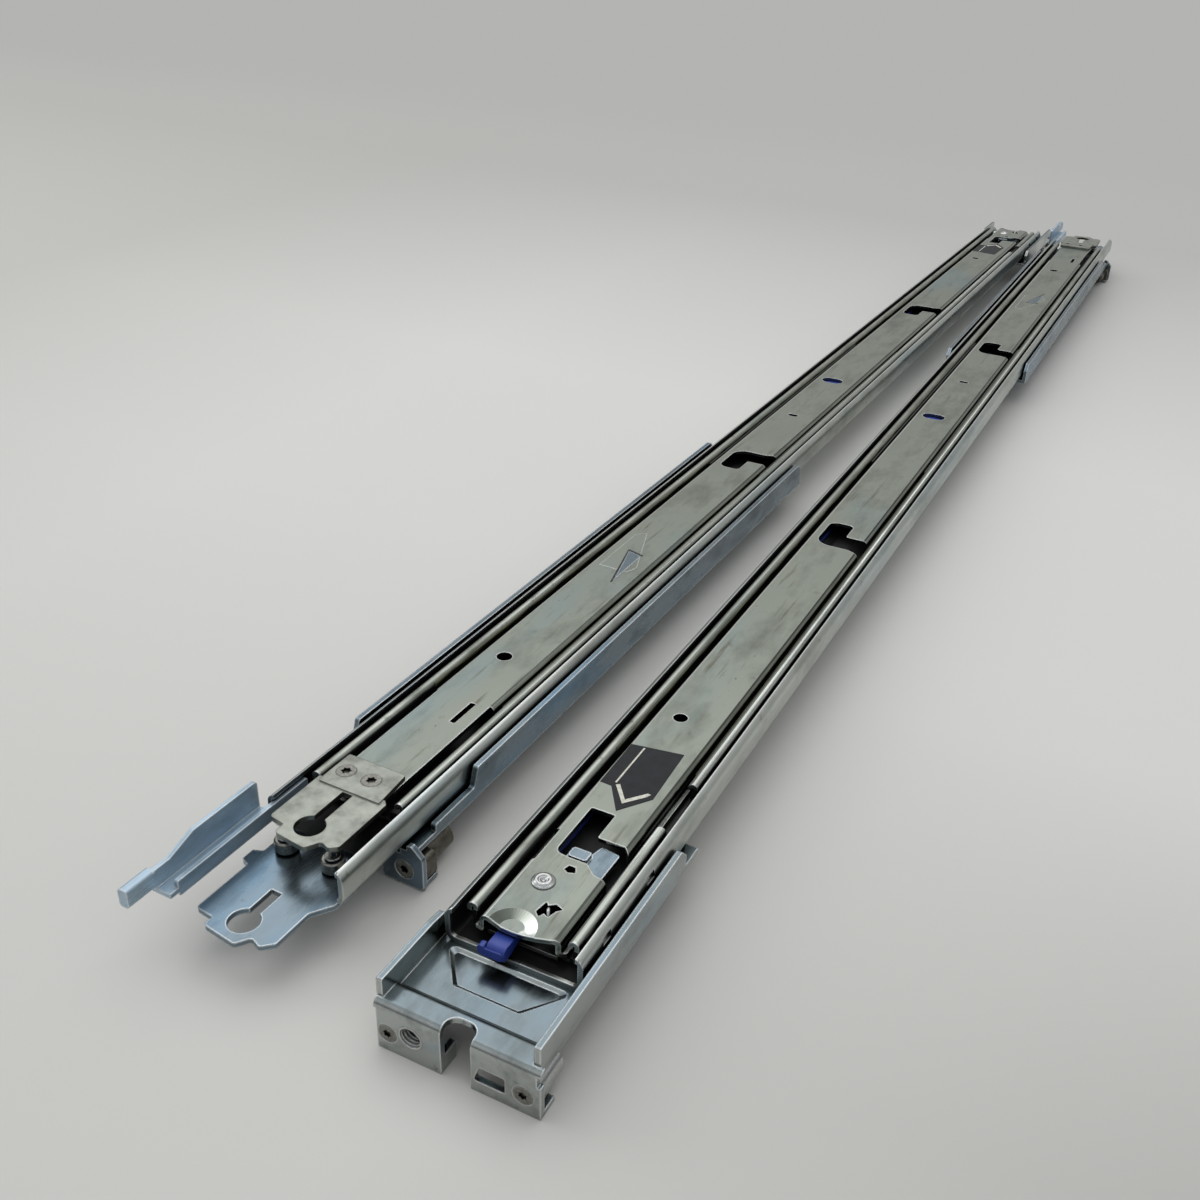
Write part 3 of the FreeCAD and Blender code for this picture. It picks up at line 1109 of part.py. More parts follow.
# ================================================================= output
PIECES = {
    "outer_rail": outer_rail, "front_bracket": front_bracket, "front_pins": front_pins,
    "bracket_rivets": bracket_rivets, "tongue": tongue,
    "roller_low": lambda: roller(-1), "roller_high": lambda: roller(1),
    "front_hook": front_hook, "front_hook_pin": front_hook_pin,
    "rear_bracket": rear_bracket, "rear_pins": rear_pins, "rear_screws": rear_screws,
    "rear_arm": rear_arm, "rear_hook": rear_hook, "rear_hook_pin": rear_hook_pin,
    "outer_cage": outer_cage, "outer_balls": outer_balls,
    "middle_rail": middle_rail, "rear_stops": rear_stops,
    "inner_cage": inner_cage, "inner_balls": inner_balls,
    "inner_rail": inner_rail, "front_latch": front_latch, "latch_pivot": latch_pivot,
    "release_slider": release_slider, "label": label, "cable_plate": cable_plate,
    "cable_screws": cable_screws,
}


def as_left(shape):
    """Mirror along the rail, then lay the rail down beside the right one."""
    turned = shape.mirror(V(0, 0, 0), V(0, 1, 0))
    turned.rotate(V(0, 0, 0), V(0, 0, 1), -LEFT_YAW)
    lead = math.sin(math.radians(LEFT_YAW)) * OUTER_WALL_REAR
    turned.translate(V(lead - PAIR_SPACING, LEFT_LEAD, 0))
    return turned


def main():
    os.makedirs("parts", exist_ok=True)
    shapes = {}
    for name, make in PIECES.items():
        shape = make()
        shapes["right_" + name] = shape
        shapes["left_" + name] = as_left(shape)
    box = Part.makeCompound(list(shapes.values())).BoundBox
    shift = V(-(box.XMin + box.XMax) / 2, -(box.YMin + box.YMax) / 2, -box.ZMin)
    print("shift", shift, "size", box.XLength, box.YLength, box.ZLength)
    for name, shape in shapes.items():
        shape.translate(shift)
        if not shape.isValid():
            print("not valid:", name)
        shape.exportStep("parts/" + name + ".step")
        print(name, len(shape.Solids), round(shape.Volume, 1))


main()
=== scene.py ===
import json
import math

import bmesh
import bpy
from mathutils import Matrix, Vector


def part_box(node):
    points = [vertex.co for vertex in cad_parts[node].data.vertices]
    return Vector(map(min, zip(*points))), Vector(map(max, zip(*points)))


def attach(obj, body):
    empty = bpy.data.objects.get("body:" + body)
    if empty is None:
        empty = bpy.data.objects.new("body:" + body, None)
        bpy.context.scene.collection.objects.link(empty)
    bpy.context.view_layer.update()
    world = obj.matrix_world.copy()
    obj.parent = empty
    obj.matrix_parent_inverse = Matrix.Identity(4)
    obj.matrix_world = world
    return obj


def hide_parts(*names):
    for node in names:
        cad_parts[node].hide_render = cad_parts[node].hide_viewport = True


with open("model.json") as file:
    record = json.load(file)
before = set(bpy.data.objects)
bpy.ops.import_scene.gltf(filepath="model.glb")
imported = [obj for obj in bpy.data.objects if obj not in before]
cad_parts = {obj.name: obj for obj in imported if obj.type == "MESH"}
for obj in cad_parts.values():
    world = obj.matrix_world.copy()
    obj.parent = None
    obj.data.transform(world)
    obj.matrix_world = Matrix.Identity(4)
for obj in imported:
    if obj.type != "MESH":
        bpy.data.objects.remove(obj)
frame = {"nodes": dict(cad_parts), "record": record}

bl_info = {
    "name": "Server rail pair",
    "version": (1, 0, 0),
    "blender": (4, 5, 0),
    "location": "View3D > Sidebar > Rails",
    "description": "Dresses a pair of sliding server rails and sets them on a paper sweep",
    "category": "Object",
}

MM = 0.001
SIDES = ("right", "left")
PIN_SPACING = 31.75           # between the two rack pins of one end, across the rail
PIN_HEIGHT = 4.8              # their axes above the lowest edge
FRONT_PIN_MIDDLE = 6.0        # mount points of the front rack pins along the rail
MOUNTS = {m["name"]: m for m in frame["record"]["mounts"]}
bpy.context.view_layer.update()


# ================================================================= rail frames
class Rail:
    """Local millimetres of one rail (w across, v to the rear, z up) in the row frame."""

    def __init__(self, side):
        self.side = side
        self.mirrored = side == "left"
        front_low = self.mount("front_pin_lower")
        front_high = self.mount("front_pin_upper")
        rear_low = self.mount("rear_pin_lower")
        rear_high = self.mount("rear_pin_upper")
        front = (front_low + front_high) / 2
        rear = (rear_low + rear_high) / 2
        self.across = (front_high - front_low).normalized()
        self.along = (rear - front).normalized()
        self.origin = front - self.along * FRONT_PIN_MIDDLE * MM
        self.origin.z = 0.0

    def mount(self, name):
        return Vector(MOUNTS[self.side + "_" + name]["pos_m"])

    def at(self, w, v, z):
        return self.origin + self.across * w * MM + self.along * v * MM + Vector((0, 0, z * MM))

    def matrix(self):
        """Maps local millimetres to row-frame metres."""
        matrix = Matrix((self.across * MM, self.along * MM, Vector((0, 0, MM))))
        matrix = matrix.transposed().to_4x4()
        matrix.translation = self.origin
        return matrix

    def body(self, name):
        return self.side + "_" + name


RAILS = {side: Rail(side) for side in SIDES}


def top_of(node):
    """Highest z of a CAD node in millimetres."""
    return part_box(node)[1].z / MM


INNER_TOP = top_of("right_inner_rail")
RIM_TOP = top_of("right_outer_rail")
LIP_TOP = top_of("right_middle_rail")
PLATE_TOP = top_of("right_cable_plate")


# ================================================================= node helpers
def linear(code, alpha=1.0):
    """sRGB hex such as 8f938c to linear colour."""
    values = [int(code[i:i + 2], 16) / 255 for i in (0, 2, 4)]
    curve = [v / 12.92 if v <= 0.04045 else ((v + 0.055) / 1.055) ** 2.4 for v in values]
    return (*curve, alpha)


def add(tree, kind, sockets=None, **settings):
    """Adds a node; sockets maps input names or numbers to values or to output sockets."""
    node = tree.nodes.new(kind)
    for key, value in settings.items():
        setattr(node, key, value)
    for key, value in (sockets or {}).items():
        if isinstance(value, bpy.types.NodeSocket):
            tree.links.new(value, node.inputs[key])
        else:
            node.inputs[key].default_value = value
    return node


def ramp(tree, factor, stops):
    """Colour ramp from (position, hex) stops; returns its colour socket."""
    node = add(tree, "ShaderNodeValToRGB", {0: factor})
    elements = node.color_ramp.elements
    while len(elements) < len(stops):
        elements.new(0.5)
    for element, (position, code) in zip(elements, stops):
        element.position = position
        element.color = linear(code)
    return node.outputs[0]


def levels(tree, factor, low, high, out_low, out_high):
    """Maps a value from one range to another, clamped."""
    node = add(tree, "ShaderNodeMapRange", {0: factor, 1: low, 2: high, 3: out_low, 4: out_high})
    return node.outputs[0]


def grain(tree, size_mm, stretch=(1, 1, 1), detail=3.0, rough=0.5, shift=(0, 0, 0)):
    """Noise whose spots are about size_mm wide; stretch lengthens them along an axis."""
    place = add(tree, "ShaderNodeTexCoord").outputs["Object"]
    scaled = add(tree, "ShaderNodeMapping", {0: place, 1: shift, 3: [1 / s for s in stretch]})
    noise = add(tree, "ShaderNodeTexNoise", {0: scaled.outputs[0], 2: 1 / (size_mm * MM),
                                             3: detail, 4: rough})
    return noise.outputs[0]


def mixed(tree, factor, first, second):
    """Colour mix; returns the colour socket."""
    node = add(tree, "ShaderNodeMix", {0: factor, 6: first, 7: second}, data_type="RGBA")
    return node.outputs[2]


def mixed_value(tree, factor, first, second):
    """Mix of two plain values; returns the value socket."""
    return add(tree, "ShaderNodeMix", {0: factor, 2: first, 3: second}).outputs[0]


def figure(tree, operation, first, second):
    """Arithmetic on two values; returns the value socket."""
    return add(tree, "ShaderNodeMath", {0: first, 1: second}, operation=operation).outputs[0]


def blank_material(name):
    material = bpy.data.materials.new(name)
    material.use_nodes = True
    material.node_tree.nodes.clear()
    return material, material.node_tree


def shaded(tree, colour, roughness, normal=None, metal=0.0, specular=0.5, coat=(0.0, 0.03)):
    """Principled shader; coat is its weight and roughness. Returns the shader socket."""
    sockets = {"Base Color": colour, "Roughness": roughness, "Metallic": metal,
               "Specular IOR Level": specular, "Coat Weight": coat[0], "Coat Roughness": coat[1]}
    if normal is not None:
        sockets["Normal"] = normal
    return add(tree, "ShaderNodeBsdfPrincipled", sockets).outputs[0]


def closed(material, shader):
    """Links a shader to the material's output and returns the material."""
    tree = material.node_tree
    output = add(tree, "ShaderNodeOutputMaterial")
    tree.links.new(shader, output.inputs[0])
    return material


def painted_hollow_shade(tree, colour, reach_mm, open_from, open_to, shade):
    """Paints a dark shade on what lies deep between the sheets, where nearby parts hide it."""
    hidden = add(tree, "ShaderNodeAmbientOcclusion", {1: reach_mm * MM}, samples=8)
    hollow_shade_mask = levels(tree, hidden.outputs["AO"], open_from, open_to, 0.97, 0.0)
    return mixed(tree, hollow_shade_mask, colour, linear(shade))


def edge_wear_and_highlight(tree, colour, width_mm, shade):
    """Paints a bright highlight along sharp edges, together with the bare metal that handling rubs
    there.
    """
    rounded = add(tree, "ShaderNodeBevel", {0: width_mm * MM}, samples=4)
    flat = add(tree, "ShaderNodeNewGeometry").outputs["True Normal"]
    turn = add(tree, "ShaderNodeVectorMath", {0: rounded.outputs[0], 1: flat},
               operation="DOT_PRODUCT").outputs["Value"]
    return mixed(tree, levels(tree, turn, 0.985, 0.86, 0.0, 0.85), colour, linear(shade))


def bumped(tree, height, strength, distance_mm, edge_mm=0.0):
    """Normal from a height, over softly rounded edges where edge_mm is given."""
    sockets = {0: strength, 1: distance_mm * MM, "Height": height}
    if edge_mm > 0:
        edge = add(tree, "ShaderNodeBevel", {0: edge_mm * MM}, samples=4)
        sockets["Normal"] = edge.outputs[0]
    return add(tree, "ShaderNodeBump", sockets).outputs[0]


# ================================================================= plated sheet
def oxide_clouds(tree, clouds, blotch_mm, clean, dull, tint, stain, tinted, stained):
    """Plating with clouds of oxide, patches of passivation tint and dried drops."""
    colour = ramp(tree, clouds, [(0.30, dull), (0.52, clean), (0.72, clean)])
    patches = levels(tree, grain(tree, blotch_mm * 2.3, (1, 3.5, 1), 3.0, 0.5, (3, 1, 2)),
                     0.54, 0.70, 0.0, tinted)
    colour = mixed(tree, patches, colour, linear(tint))
    drops = levels(tree, grain(tree, blotch_mm * 0.35, (1, 1.6, 1), 4.0, 0.7, (7, 5, 1)),
                   0.62, 0.74, 0.0, stained)
    return mixed(tree, drops, colour, linear(stain))


def streaky(tree, colour, amount):
    """Brown streaks along the rail and dark specks, left by use."""
    streaks = levels(tree, grain(tree, 2.2, (1, 14, 1), 4.0, 0.6, (2, 9, 4)),
                     0.60, 0.72, 0.0, amount)
    colour = mixed(tree, streaks, colour, linear("57503f"))
    specks = levels(tree, grain(tree, 1.5, (1, 1.5, 1), 2.0, 0.5, (5, 1, 8)),
                    0.74, 0.78, 0.0, amount)
    return mixed(tree, specks, colour, linear("3a3630"))


def painted_lean_light(tree, colour, tilt, bent, clean):
    """Paints light and shade on shallow pressings by their lean: a painted highlight towards -X and
    painted shade towards +X.
    """
    shallow = levels(tree, tilt[2], 0.86, 0.92, 0.0, 1.0)
    lean = ramp(tree, levels(tree, tilt[0], -0.25, 0.25, 0.0, 1.0),
                [(0.0, "f2f4f0"), (0.3, "c4c8c1"), (0.5, clean), (0.75, "4c504b"),
                 (1.0, "30332f")])
    return mixed(tree, figure(tree, "MULTIPLY", bent, shallow), colour, lean)


def plated_steel(name, clean, dull, tint, stain, rough, blotch_mm, edge_mm, tinted=0.55,
                 stained=0.6, streaked=0.0, reach_mm=12.0, metal=1.0, painted_top_shade=None,
                 polish_and_lean_light=0.0):
    """Zinc-plated sheet with rolled grain along the rail.

    tint and stain cover as much as tinted and stained say; the flat shade is painted
    shade on what lies flat, and the pressing amount polishes what is bent or pressed and
    paints light and shade on it by its lean.
    """
    material, tree = blank_material(name)
    clouds = grain(tree, blotch_mm, (1, 2.6, 1), 5.0, 0.62)
    colour = oxide_clouds(tree, clouds, blotch_mm, clean, dull, tint, stain, tinted, stained)
    roughness = levels(tree, clouds, 0.25, 0.75, rough + 0.14, rough - 0.04)
    if streaked > 0:
        colour = streaky(tree, colour, streaked)
    tilt = add(tree, "ShaderNodeSeparateXYZ",
               {0: add(tree, "ShaderNodeNewGeometry").outputs["True Normal"]}).outputs
    # painted highlight and shade on pressings, by how they lean
    if polish_and_lean_light > 0:
        bent = levels(tree, tilt[2], 0.9995, 0.985, 0.0, polish_and_lean_light)
        colour = painted_lean_light(tree, colour, tilt, bent, clean)
        roughness = mixed_value(tree, bent, roughness, 0.12)
    # painted shade on faces that look up, clouded with the stain colour
    if painted_top_shade:
        facing_up = levels(tree, tilt[2], 0.7, 0.97, 0.0, 0.8)
        top_shade_colour = mixed(tree, clouds, linear(stain), linear(painted_top_shade))
        colour = mixed(tree, facing_up, colour, top_shade_colour)
    # painted highlight along sharp edges, with some real wear
    colour = edge_wear_and_highlight(tree, colour, 0.7, "eef1f0")
    # painted shade deep in the hollows between the sheets
    colour = painted_hollow_shade(tree, colour, reach_mm, 0.28, 0.58, "050505")
    rolled = grain(tree, 0.35, (1, 40, 1), 2.0, 0.6)      # rolling lines, drawn coarser than real
    bands = levels(tree, rolled, 0.3, 0.7, 0.0, 0.05)
    pits = grain(tree, 0.9, (1, 1, 1), 6.0, 0.6)
    normal = bumped(tree, figure(tree, "ADD", rolled, pits), 0.16, 0.03, edge_mm)
    return closed(material, shaded(tree, colour, figure(tree, "ADD", roughness, bands), normal,
                                   metal))


def galvanised_rail():
    # zinc-coated strip of the outer members: satin and silvery, with a faint bloom of oxide
    return plated_steel("galvanised_strip", clean="bcc0bb", dull="969a93", tint="9db0b7",
                        stain="65614f", rough=0.26, blotch_mm=14.0, edge_mm=0.3)


def oiled_strip():
    # the same strip, rolled thinner and kept oily: grey, going olive where the oil has aged
    return plated_steel("oiled_galvanised_strip", clean="a8aca4", dull="787c73", tint="8a9895",
                        stain="46473a", rough=0.25, blotch_mm=12.0, edge_mm=0.25,
                        tinted=0.35, stained=0.7, streaked=0.35)


def worn_plate():
    # zinc-coated plate rubbed by use: grey-green, with blue bloom, brown streaks and specks, and
    # painted light and shade on its pressings
    return plated_steel("worn_galvanised_plate", clean="90958c", dull="747870", tint="7c97a3",
                        stain="66635a", rough=0.32, blotch_mm=13.0, edge_mm=0.3,
                        tinted=0.5, stained=0.45, streaked=0.6, polish_and_lean_light=0.9)


def blue_zinc():
    # blue-passivated zinc plate: smoother than the strip, with a cool cast and cloudy patches
    return plated_steel("blue_passivated_zinc", clean="78868f", dull="515f69", tint="688eab",
                        stain="414d55", rough=0.20, blotch_mm=9.0, edge_mm=0.3,
                        tinted=0.6, stained=0.5, reach_mm=3.5)


def pale_zinc():
    # the rear arms keep a thicker, paler blue coat, dull enough to scatter light in the channel
    return plated_steel("pale_blue_zinc", clean="a8bdcc", dull="8095a6", tint="86b0d0",
                        stain="5c7080", rough=0.24, blotch_mm=9.0, edge_mm=0.3,
                        tinted=0.7, stained=0.5, reach_mm=2.0, metal=0.45)


def bloomed_zinc():
    # pressing of the front bracket: silvery walls and ears, and a pan that shines, with painted
    # blue-grey shade on what faces up
    return plated_steel("bloomed_zinc_plate", clean="aeb3b0", dull="858a88", tint="86a2b6",
                        stain="575a52", rough=0.13, blotch_mm=7.0, edge_mm=0.35,
                        tinted=0.6, stained=0.5, reach_mm=3.5, painted_top_shade="647b8d")


# ================================================================= other finishes
def cast_zinc():
    # tumbled zinc die casting: pale and finely pitted
    material, tree = blank_material("tumbled_zinc_casting")
    clouds = grain(tree, 5.0, (1, 1, 1), 5.0, 0.6)
    colour = ramp(tree, clouds, [(0.3, "7c7e77"), (0.5, "959890"), (0.75, "a4a79f")])
    pits = grain(tree, 0.5, (1, 1, 1), 4.0, 0.7)
    normal = bumped(tree, pits, 0.35, 0.05, 0.35)
    roughness = levels(tree, clouds, 0.3, 0.7, 0.42, 0.28)
    return closed(material, shaded(tree, colour, roughness, normal, metal=1.0))


def dark_cast():
    # phosphated cast block: grey-brown, dull, slightly oily
    material, tree = blank_material("phosphated_cast_steel")
    clouds = grain(tree, 3.0, (1, 1, 1), 4.0, 0.6)
    colour = ramp(tree, clouds, [(0.3, "4a463f"), (0.6, "6f6b62"), (0.8, "8a867c")])
    pits = grain(tree, 0.4, (1, 1, 1), 4.0, 0.6)
    normal = bumped(tree, pits, 0.4, 0.05, 0.3)
    return closed(material, shaded(tree, colour, 0.44, normal, metal=0.9))


def channel_shade_film():
    # painted shade deep in the ways, over old oil: nearly black and dull
    material, tree = blank_material("painted_channel_shade")
    smear = grain(tree, 2.5, (1, 6, 1), 4.0, 0.6)
    colour = ramp(tree, smear, [(0.3, "060606"), (0.6, "0a0b0a"), (0.85, "1b1b16")])
    normal = bumped(tree, smear, 0.2, 0.05)
    roughness = levels(tree, smear, 0.3, 0.7, 0.6, 0.45)
    return closed(material, shaded(tree, colour, roughness, normal, specular=0.3))


def nickel_turned():
    # nickel-plated turned steel: bright, with fine turning marks
    material, tree = blank_material("nickel_plated_steel")
    marks = grain(tree, 0.25, (1, 1, 1), 3.0, 0.5)
    colour = ramp(tree, marks, [(0.3, "a4a6a6"), (0.7, "c9cac8")])
    normal = bumped(tree, marks, 0.12, 0.02, 0.15)
    return closed(material, shaded(tree, colour, 0.22, normal, metal=1.0))


def dull_steel():
    # turned steel with a thin dull plating and painted shade in its corners: rollers and screws
    material, tree = blank_material("dull_plated_steel")
    marks = grain(tree, 0.6, (1, 1, 1), 4.0, 0.6)
    colour = ramp(tree, marks, [(0.3, "6b6963"), (0.7, "93928c")])
    # painted shade in the corners
    colour = painted_hollow_shade(tree, colour, 3.0, 0.25, 0.7, "0c0b0a")
    normal = bumped(tree, marks, 0.15, 0.02, 0.2)
    return closed(material, shaded(tree, colour, 0.3, normal, metal=1.0))


def bearing_steel():
    # polished chrome steel under a film of oil
    material, tree = blank_material("polished_bearing_steel")
    haze = levels(tree, grain(tree, 0.8), 0.3, 0.7, 0.06, 0.16)
    return closed(material, shaded(tree, linear("c4c6c8"), haze, metal=1.0))


def moulded_plastic(name, light, dark, rough):
    """Acetal: an even colour with a faint flow cloud and a fine spark texture."""
    material, tree = blank_material(name)
    cloud = grain(tree, 6.0, (1, 2, 1), 3.0, 0.5)
    colour = ramp(tree, cloud, [(0.3, dark), (0.7, light)])
    # painted shade in the hollows around the plastic parts
    colour = painted_hollow_shade(tree, colour, 7.0, 0.34, 0.62, "030304")
    spark = grain(tree, 0.35, (1, 1, 1), 2.0, 0.5)
    normal = bumped(tree, spark, 0.15, 0.02, 0.35)
    roughness = levels(tree, cloud, 0.3, 0.7, rough + 0.06, rough - 0.04)
    return closed(material, shaded(tree, colour, roughness, normal))


def black_acetal():
    # black acetal of cages and buffers, smeared with grease
    return moulded_plastic("black_acetal", "141517", "08090a", 0.42)


def blue_acetal():
    # deep blue acetal of the release bar
    return moulded_plastic("blue_acetal", "2c4399", "233487", 0.36)


def label_film():
    # matt laminated polyester film, dark slate
    material, tree = blank_material("laminated_film")
    wrinkles = grain(tree, 2.5, (1, 1, 1), 3.0, 0.5)
    colour = ramp(tree, wrinkles, [(0.3, "17181c"), (0.7, "202227")])
    normal = bumped(tree, wrinkles, 0.12, 0.04)
    return closed(material, shaded(tree, colour, 0.55, normal, specular=0.3))


def label_ink():
    # pale printed ink, a little worn
    material, tree = blank_material("printed_ink")
    wear = grain(tree, 0.9, (1, 1, 1), 4.0, 0.6)
    colour = ramp(tree, wear, [(0.3, "b7b5a8"), (0.6, "dedccf")])
    return closed(material, shaded(tree, colour, 0.5))


def bearing_grease():
    # lithium grease, olive and wet, gathered by the balls into ripples
    material, tree = blank_material("bearing_grease")
    ripples = grain(tree, 1.4, (1, 5, 1), 3.0, 0.5)
    colour = ramp(tree, ripples, [(0.3, "2b2c17"), (0.6, "55563a"), (0.8, "6d6c4c")])
    normal = bumped(tree, ripples, 0.5, 0.1)
    return closed(material, shaded(tree, colour, 0.3, normal, coat=(0.4, 0.15)))


def paper_with_painted_shade(tree, x, y, near, far, shade):
    """Paper with painted shade: it greys to the left, behind the rails and in the near right
    corner.
    """
    depth = levels(tree, y, -0.5, 1.0, 0.0, 1.0)
    colour = ramp(tree, depth, [(0.0, "cccac6"), (0.22, near), (0.34, near), (0.62, far)])
    left = levels(tree, x, -0.22, -0.52, 0.0, 0.6)
    colour = mixed(tree, left, colour, linear("b4b3ae"))
    side = levels(tree, x, 0.02, 0.22, 0.0, 1.0)
    close = levels(tree, y, -0.2, -0.34, 0.0, 1.0)
    return mixed(tree, figure(tree, "MULTIPLY", side, close), colour, linear(shade))


def paper_sweep(near, far, shade):
    # seamless background paper: matt and pale; far off it keeps one grey where it is looked at
    material, tree = blank_material("background_paper")
    place = add(tree, "ShaderNodeTexCoord").outputs["Object"]
    x, y, _ = add(tree, "ShaderNodeSeparateXYZ", {0: place}).outputs
    colour = paper_with_painted_shade(tree, x, y, near, far, shade)
    fibres = grain(tree, 2.0, (1, 1, 1), 5.0, 0.6)
    cockle = grain(tree, 60.0, (1, 1, 1), 2.0, 0.5)
    height = figure(tree, "ADD", figure(tree, "MULTIPLY", fibres, 0.15), cockle)
    lit = shaded(tree, colour, 0.85, bumped(tree, height, 0.08, 2.0), specular=0.25)
    path = add(tree, "ShaderNodeLightPath").outputs
    seen = figure(tree, "MAXIMUM", path["Is Camera Ray"], path["Is Glossy Ray"])
    seen = figure(tree, "MAXIMUM", seen, path["Is Transmission Ray"])
    away = levels(tree, y, 0.30, 0.85, 0.0, 1.0)
    grey = mixed(tree, levels(tree, y, 0.2, 0.7, 0.0, 1.0), linear("bfbfbb"), linear("b4b4b2"))
    plain = add(tree, "ShaderNodeEmission", {0: grey, 1: 1.0}).outputs[0]
    both = add(tree, "ShaderNodeMixShader", {0: figure(tree, "MULTIPLY", seen, away), 1: lit,
                                             2: plain})
    return closed(material, both.outputs[0])


# ================================================================= mesh helpers
def linked(name, data):
    """Object with the given data, put in the scene."""
    piece = bpy.data.objects.new(name, data)
    bpy.context.scene.collection.objects.link(piece)
    return piece


def object_from(bm, name, material, smooth=False):
    """Turns a bmesh in the row frame into an object with one finish."""
    mesh = bpy.data.meshes.new(name)
    bm.to_mesh(mesh)
    bm.free()
    mesh.materials.append(material)
    for polygon in mesh.polygons:
        polygon.use_smooth = smooth
    return linked(name, mesh)


def to_rail(bm, rail):
    """Moves local millimetres onto a rail and points the faces outwards again."""
    bmesh.ops.transform(bm, matrix=rail.matrix(), verts=bm.verts)
    if rail.mirrored == (rail.across.cross(rail.along).z > 0):
        bmesh.ops.reverse_faces(bm, faces=bm.faces)
    bmesh.ops.recalc_face_normals(bm, faces=bm.faces)


def prism(bm, outline, z0, z1):
    """Closed prism over an outline of (w, v) points."""
    low = [bm.verts.new((w, v, z0)) for w, v in outline]
    high = [bm.verts.new((w, v, z1)) for w, v in outline]
    count = len(outline)
    bm.faces.new(low[::-1])
    bm.faces.new(high)
    for i in range(count):
        j = (i + 1) % count
        bm.faces.new((low[i], low[j], high[j], high[i]))


def rings(bm, profile, lobes=0, depth=0.0, count=48):
    """Closed turned solid about z from (radius, z, lobed) stations, first and last capped."""
    loops = []
    for radius, z, lobed in profile:
        loop = []
        for i in range(count):
            angle = 2 * math.pi * i / count
            wave = depth * math.cos(lobes * angle) if lobed else 0.0
            r = radius + wave
            loop.append(bm.verts.new((r * math.cos(angle), r * math.sin(angle), z)))
        loops.append(loop)
    for below, above in zip(loops, loops[1:]):
        for i in range(count):
            j = (i + 1) % count
            bm.faces.new((below[i], below[j], above[j], above[i]))
    bm.faces.new(loops[0][::-1])
    bm.faces.new(loops[-1])


def six_lobe_head(name, radius, height, socket, depth, material):
    """Screw head with a six-lobe socket; its axis is z and its top at z = 0, in metres."""
    bm = bmesh.new()
    edge = radius * 0.08
    rings(bm, [(radius * 0.55, -height, False), (radius, -edge, False),
               (radius - edge, 0.0, False), (socket * 1.08, 0.0, True),
               (socket, -depth * 0.12, True), (socket * 0.92, -depth, True)],
          6, socket * 0.16)
    bmesh.ops.scale(bm, vec=(MM, MM, MM), verts=bm.verts)
    bmesh.ops.recalc_face_normals(bm, faces=bm.faces)
    return object_from(bm, name, material)


# ================================================================= repeated pieces
def geometry_tree(name, inputs, result):
    """Node group with the given inputs; returns it with their sockets."""
    tree = bpy.data.node_groups.new(name, "GeometryNodeTree")
    for label, kind in inputs.items():
        tree.interface.new_socket(name=label, in_out="INPUT", socket_type="NodeSocket" + kind)
    tree.interface.new_socket(name=result, in_out="OUTPUT", socket_type="NodeSocketGeometry")
    return tree, add(tree, "NodeGroupInput").outputs


def realized(tree, shape, finish):
    """Makes copies real, gives them their finish and ends the group."""
    real = add(tree, "GeometryNodeRealizeInstances", {0: shape})
    finished = add(tree, "GeometryNodeSetMaterial", {0: real.outputs[0], "Material": finish})
    end = add(tree, "NodeGroupOutput")
    tree.links.new(finished.outputs[0], end.inputs[0])
    return tree


def copies_tree():
    """Sets a copy of one piece on every point, turned to an axis with its own spin."""
    tree, start = geometry_tree("placed_copies", {
        "Points": "Geometry", "Piece": "Object", "Axis": "Vector", "Seed": "Int",
        "Finish": "Material"}, "Copies")
    points = add(tree, "GeometryNodeMeshToPoints", {0: start["Points"]})
    source = add(tree, "GeometryNodeObjectInfo", {"Object": start["Piece"]})
    spin = add(tree, "FunctionNodeRandomValue", {2: 0.0, 3: 2 * math.pi, "Seed": start["Seed"]},
               data_type="FLOAT")
    turned = add(tree, "FunctionNodeAxisAngleToRotation", {0: (0, 0, 1), 1: spin.outputs[1]})
    aligned = add(tree, "FunctionNodeAlignRotationToVector", {"Vector": start["Axis"]}, axis="Z")
    both = add(tree, "FunctionNodeRotateRotation", {0: aligned.outputs[0], 1: turned.outputs[0]},
               rotation_space="LOCAL")
    placed = add(tree, "GeometryNodeInstanceOnPoints",
                 {"Points": points.outputs[0], "Instance": source.outputs["Geometry"],
                  "Rotation": both.outputs[0]})
    return realized(tree, placed.outputs[0], start["Finish"])


def ridge_tree():
    """Thread ridge: a three-sided wire wound into a helix about z."""
    tree, start = geometry_tree("thread_ridge", {
        "Base": "Geometry", "Radius": "Float", "Length": "Float", "Turns": "Float",
        "Ridge": "Float", "Finish": "Material"}, "Thread")
    spiral = add(tree, "GeometryNodeCurveSpiral",
                 {"Resolution": 28, "Rotations": start["Turns"], "Start Radius": start["Radius"],
                  "End Radius": start["Radius"], "Height": start["Length"]})
    profile = add(tree, "GeometryNodeCurvePrimitiveCircle", {"Resolution": 3,
                                                             "Radius": start["Ridge"]})
    wound = add(tree, "GeometryNodeCurveToMesh", {0: spiral.outputs[0], 1: profile.outputs[0],
                                                  "Fill Caps": True})
    return realized(tree, wound.outputs[0], start["Finish"])


def grown(name, base, tree, values):
    """Runs a geometry tree on a base mesh and keeps the plain mesh it makes."""
    piece = linked(name, base)
    modifier = piece.modifiers.new("shape", "NODES")
    modifier.node_group = tree
    for item in tree.interface.items_tree:
        if item.in_out == "INPUT" and item.name in values:
            modifier[item.identifier] = values[item.name]
    bpy.context.view_layer.update()
    ready = piece.evaluated_get(bpy.context.evaluated_depsgraph_get())
    mesh = bpy.data.meshes.new_from_object(ready)
    piece.modifiers.clear()
    piece.data = mesh
    mesh.name = name
    return piece


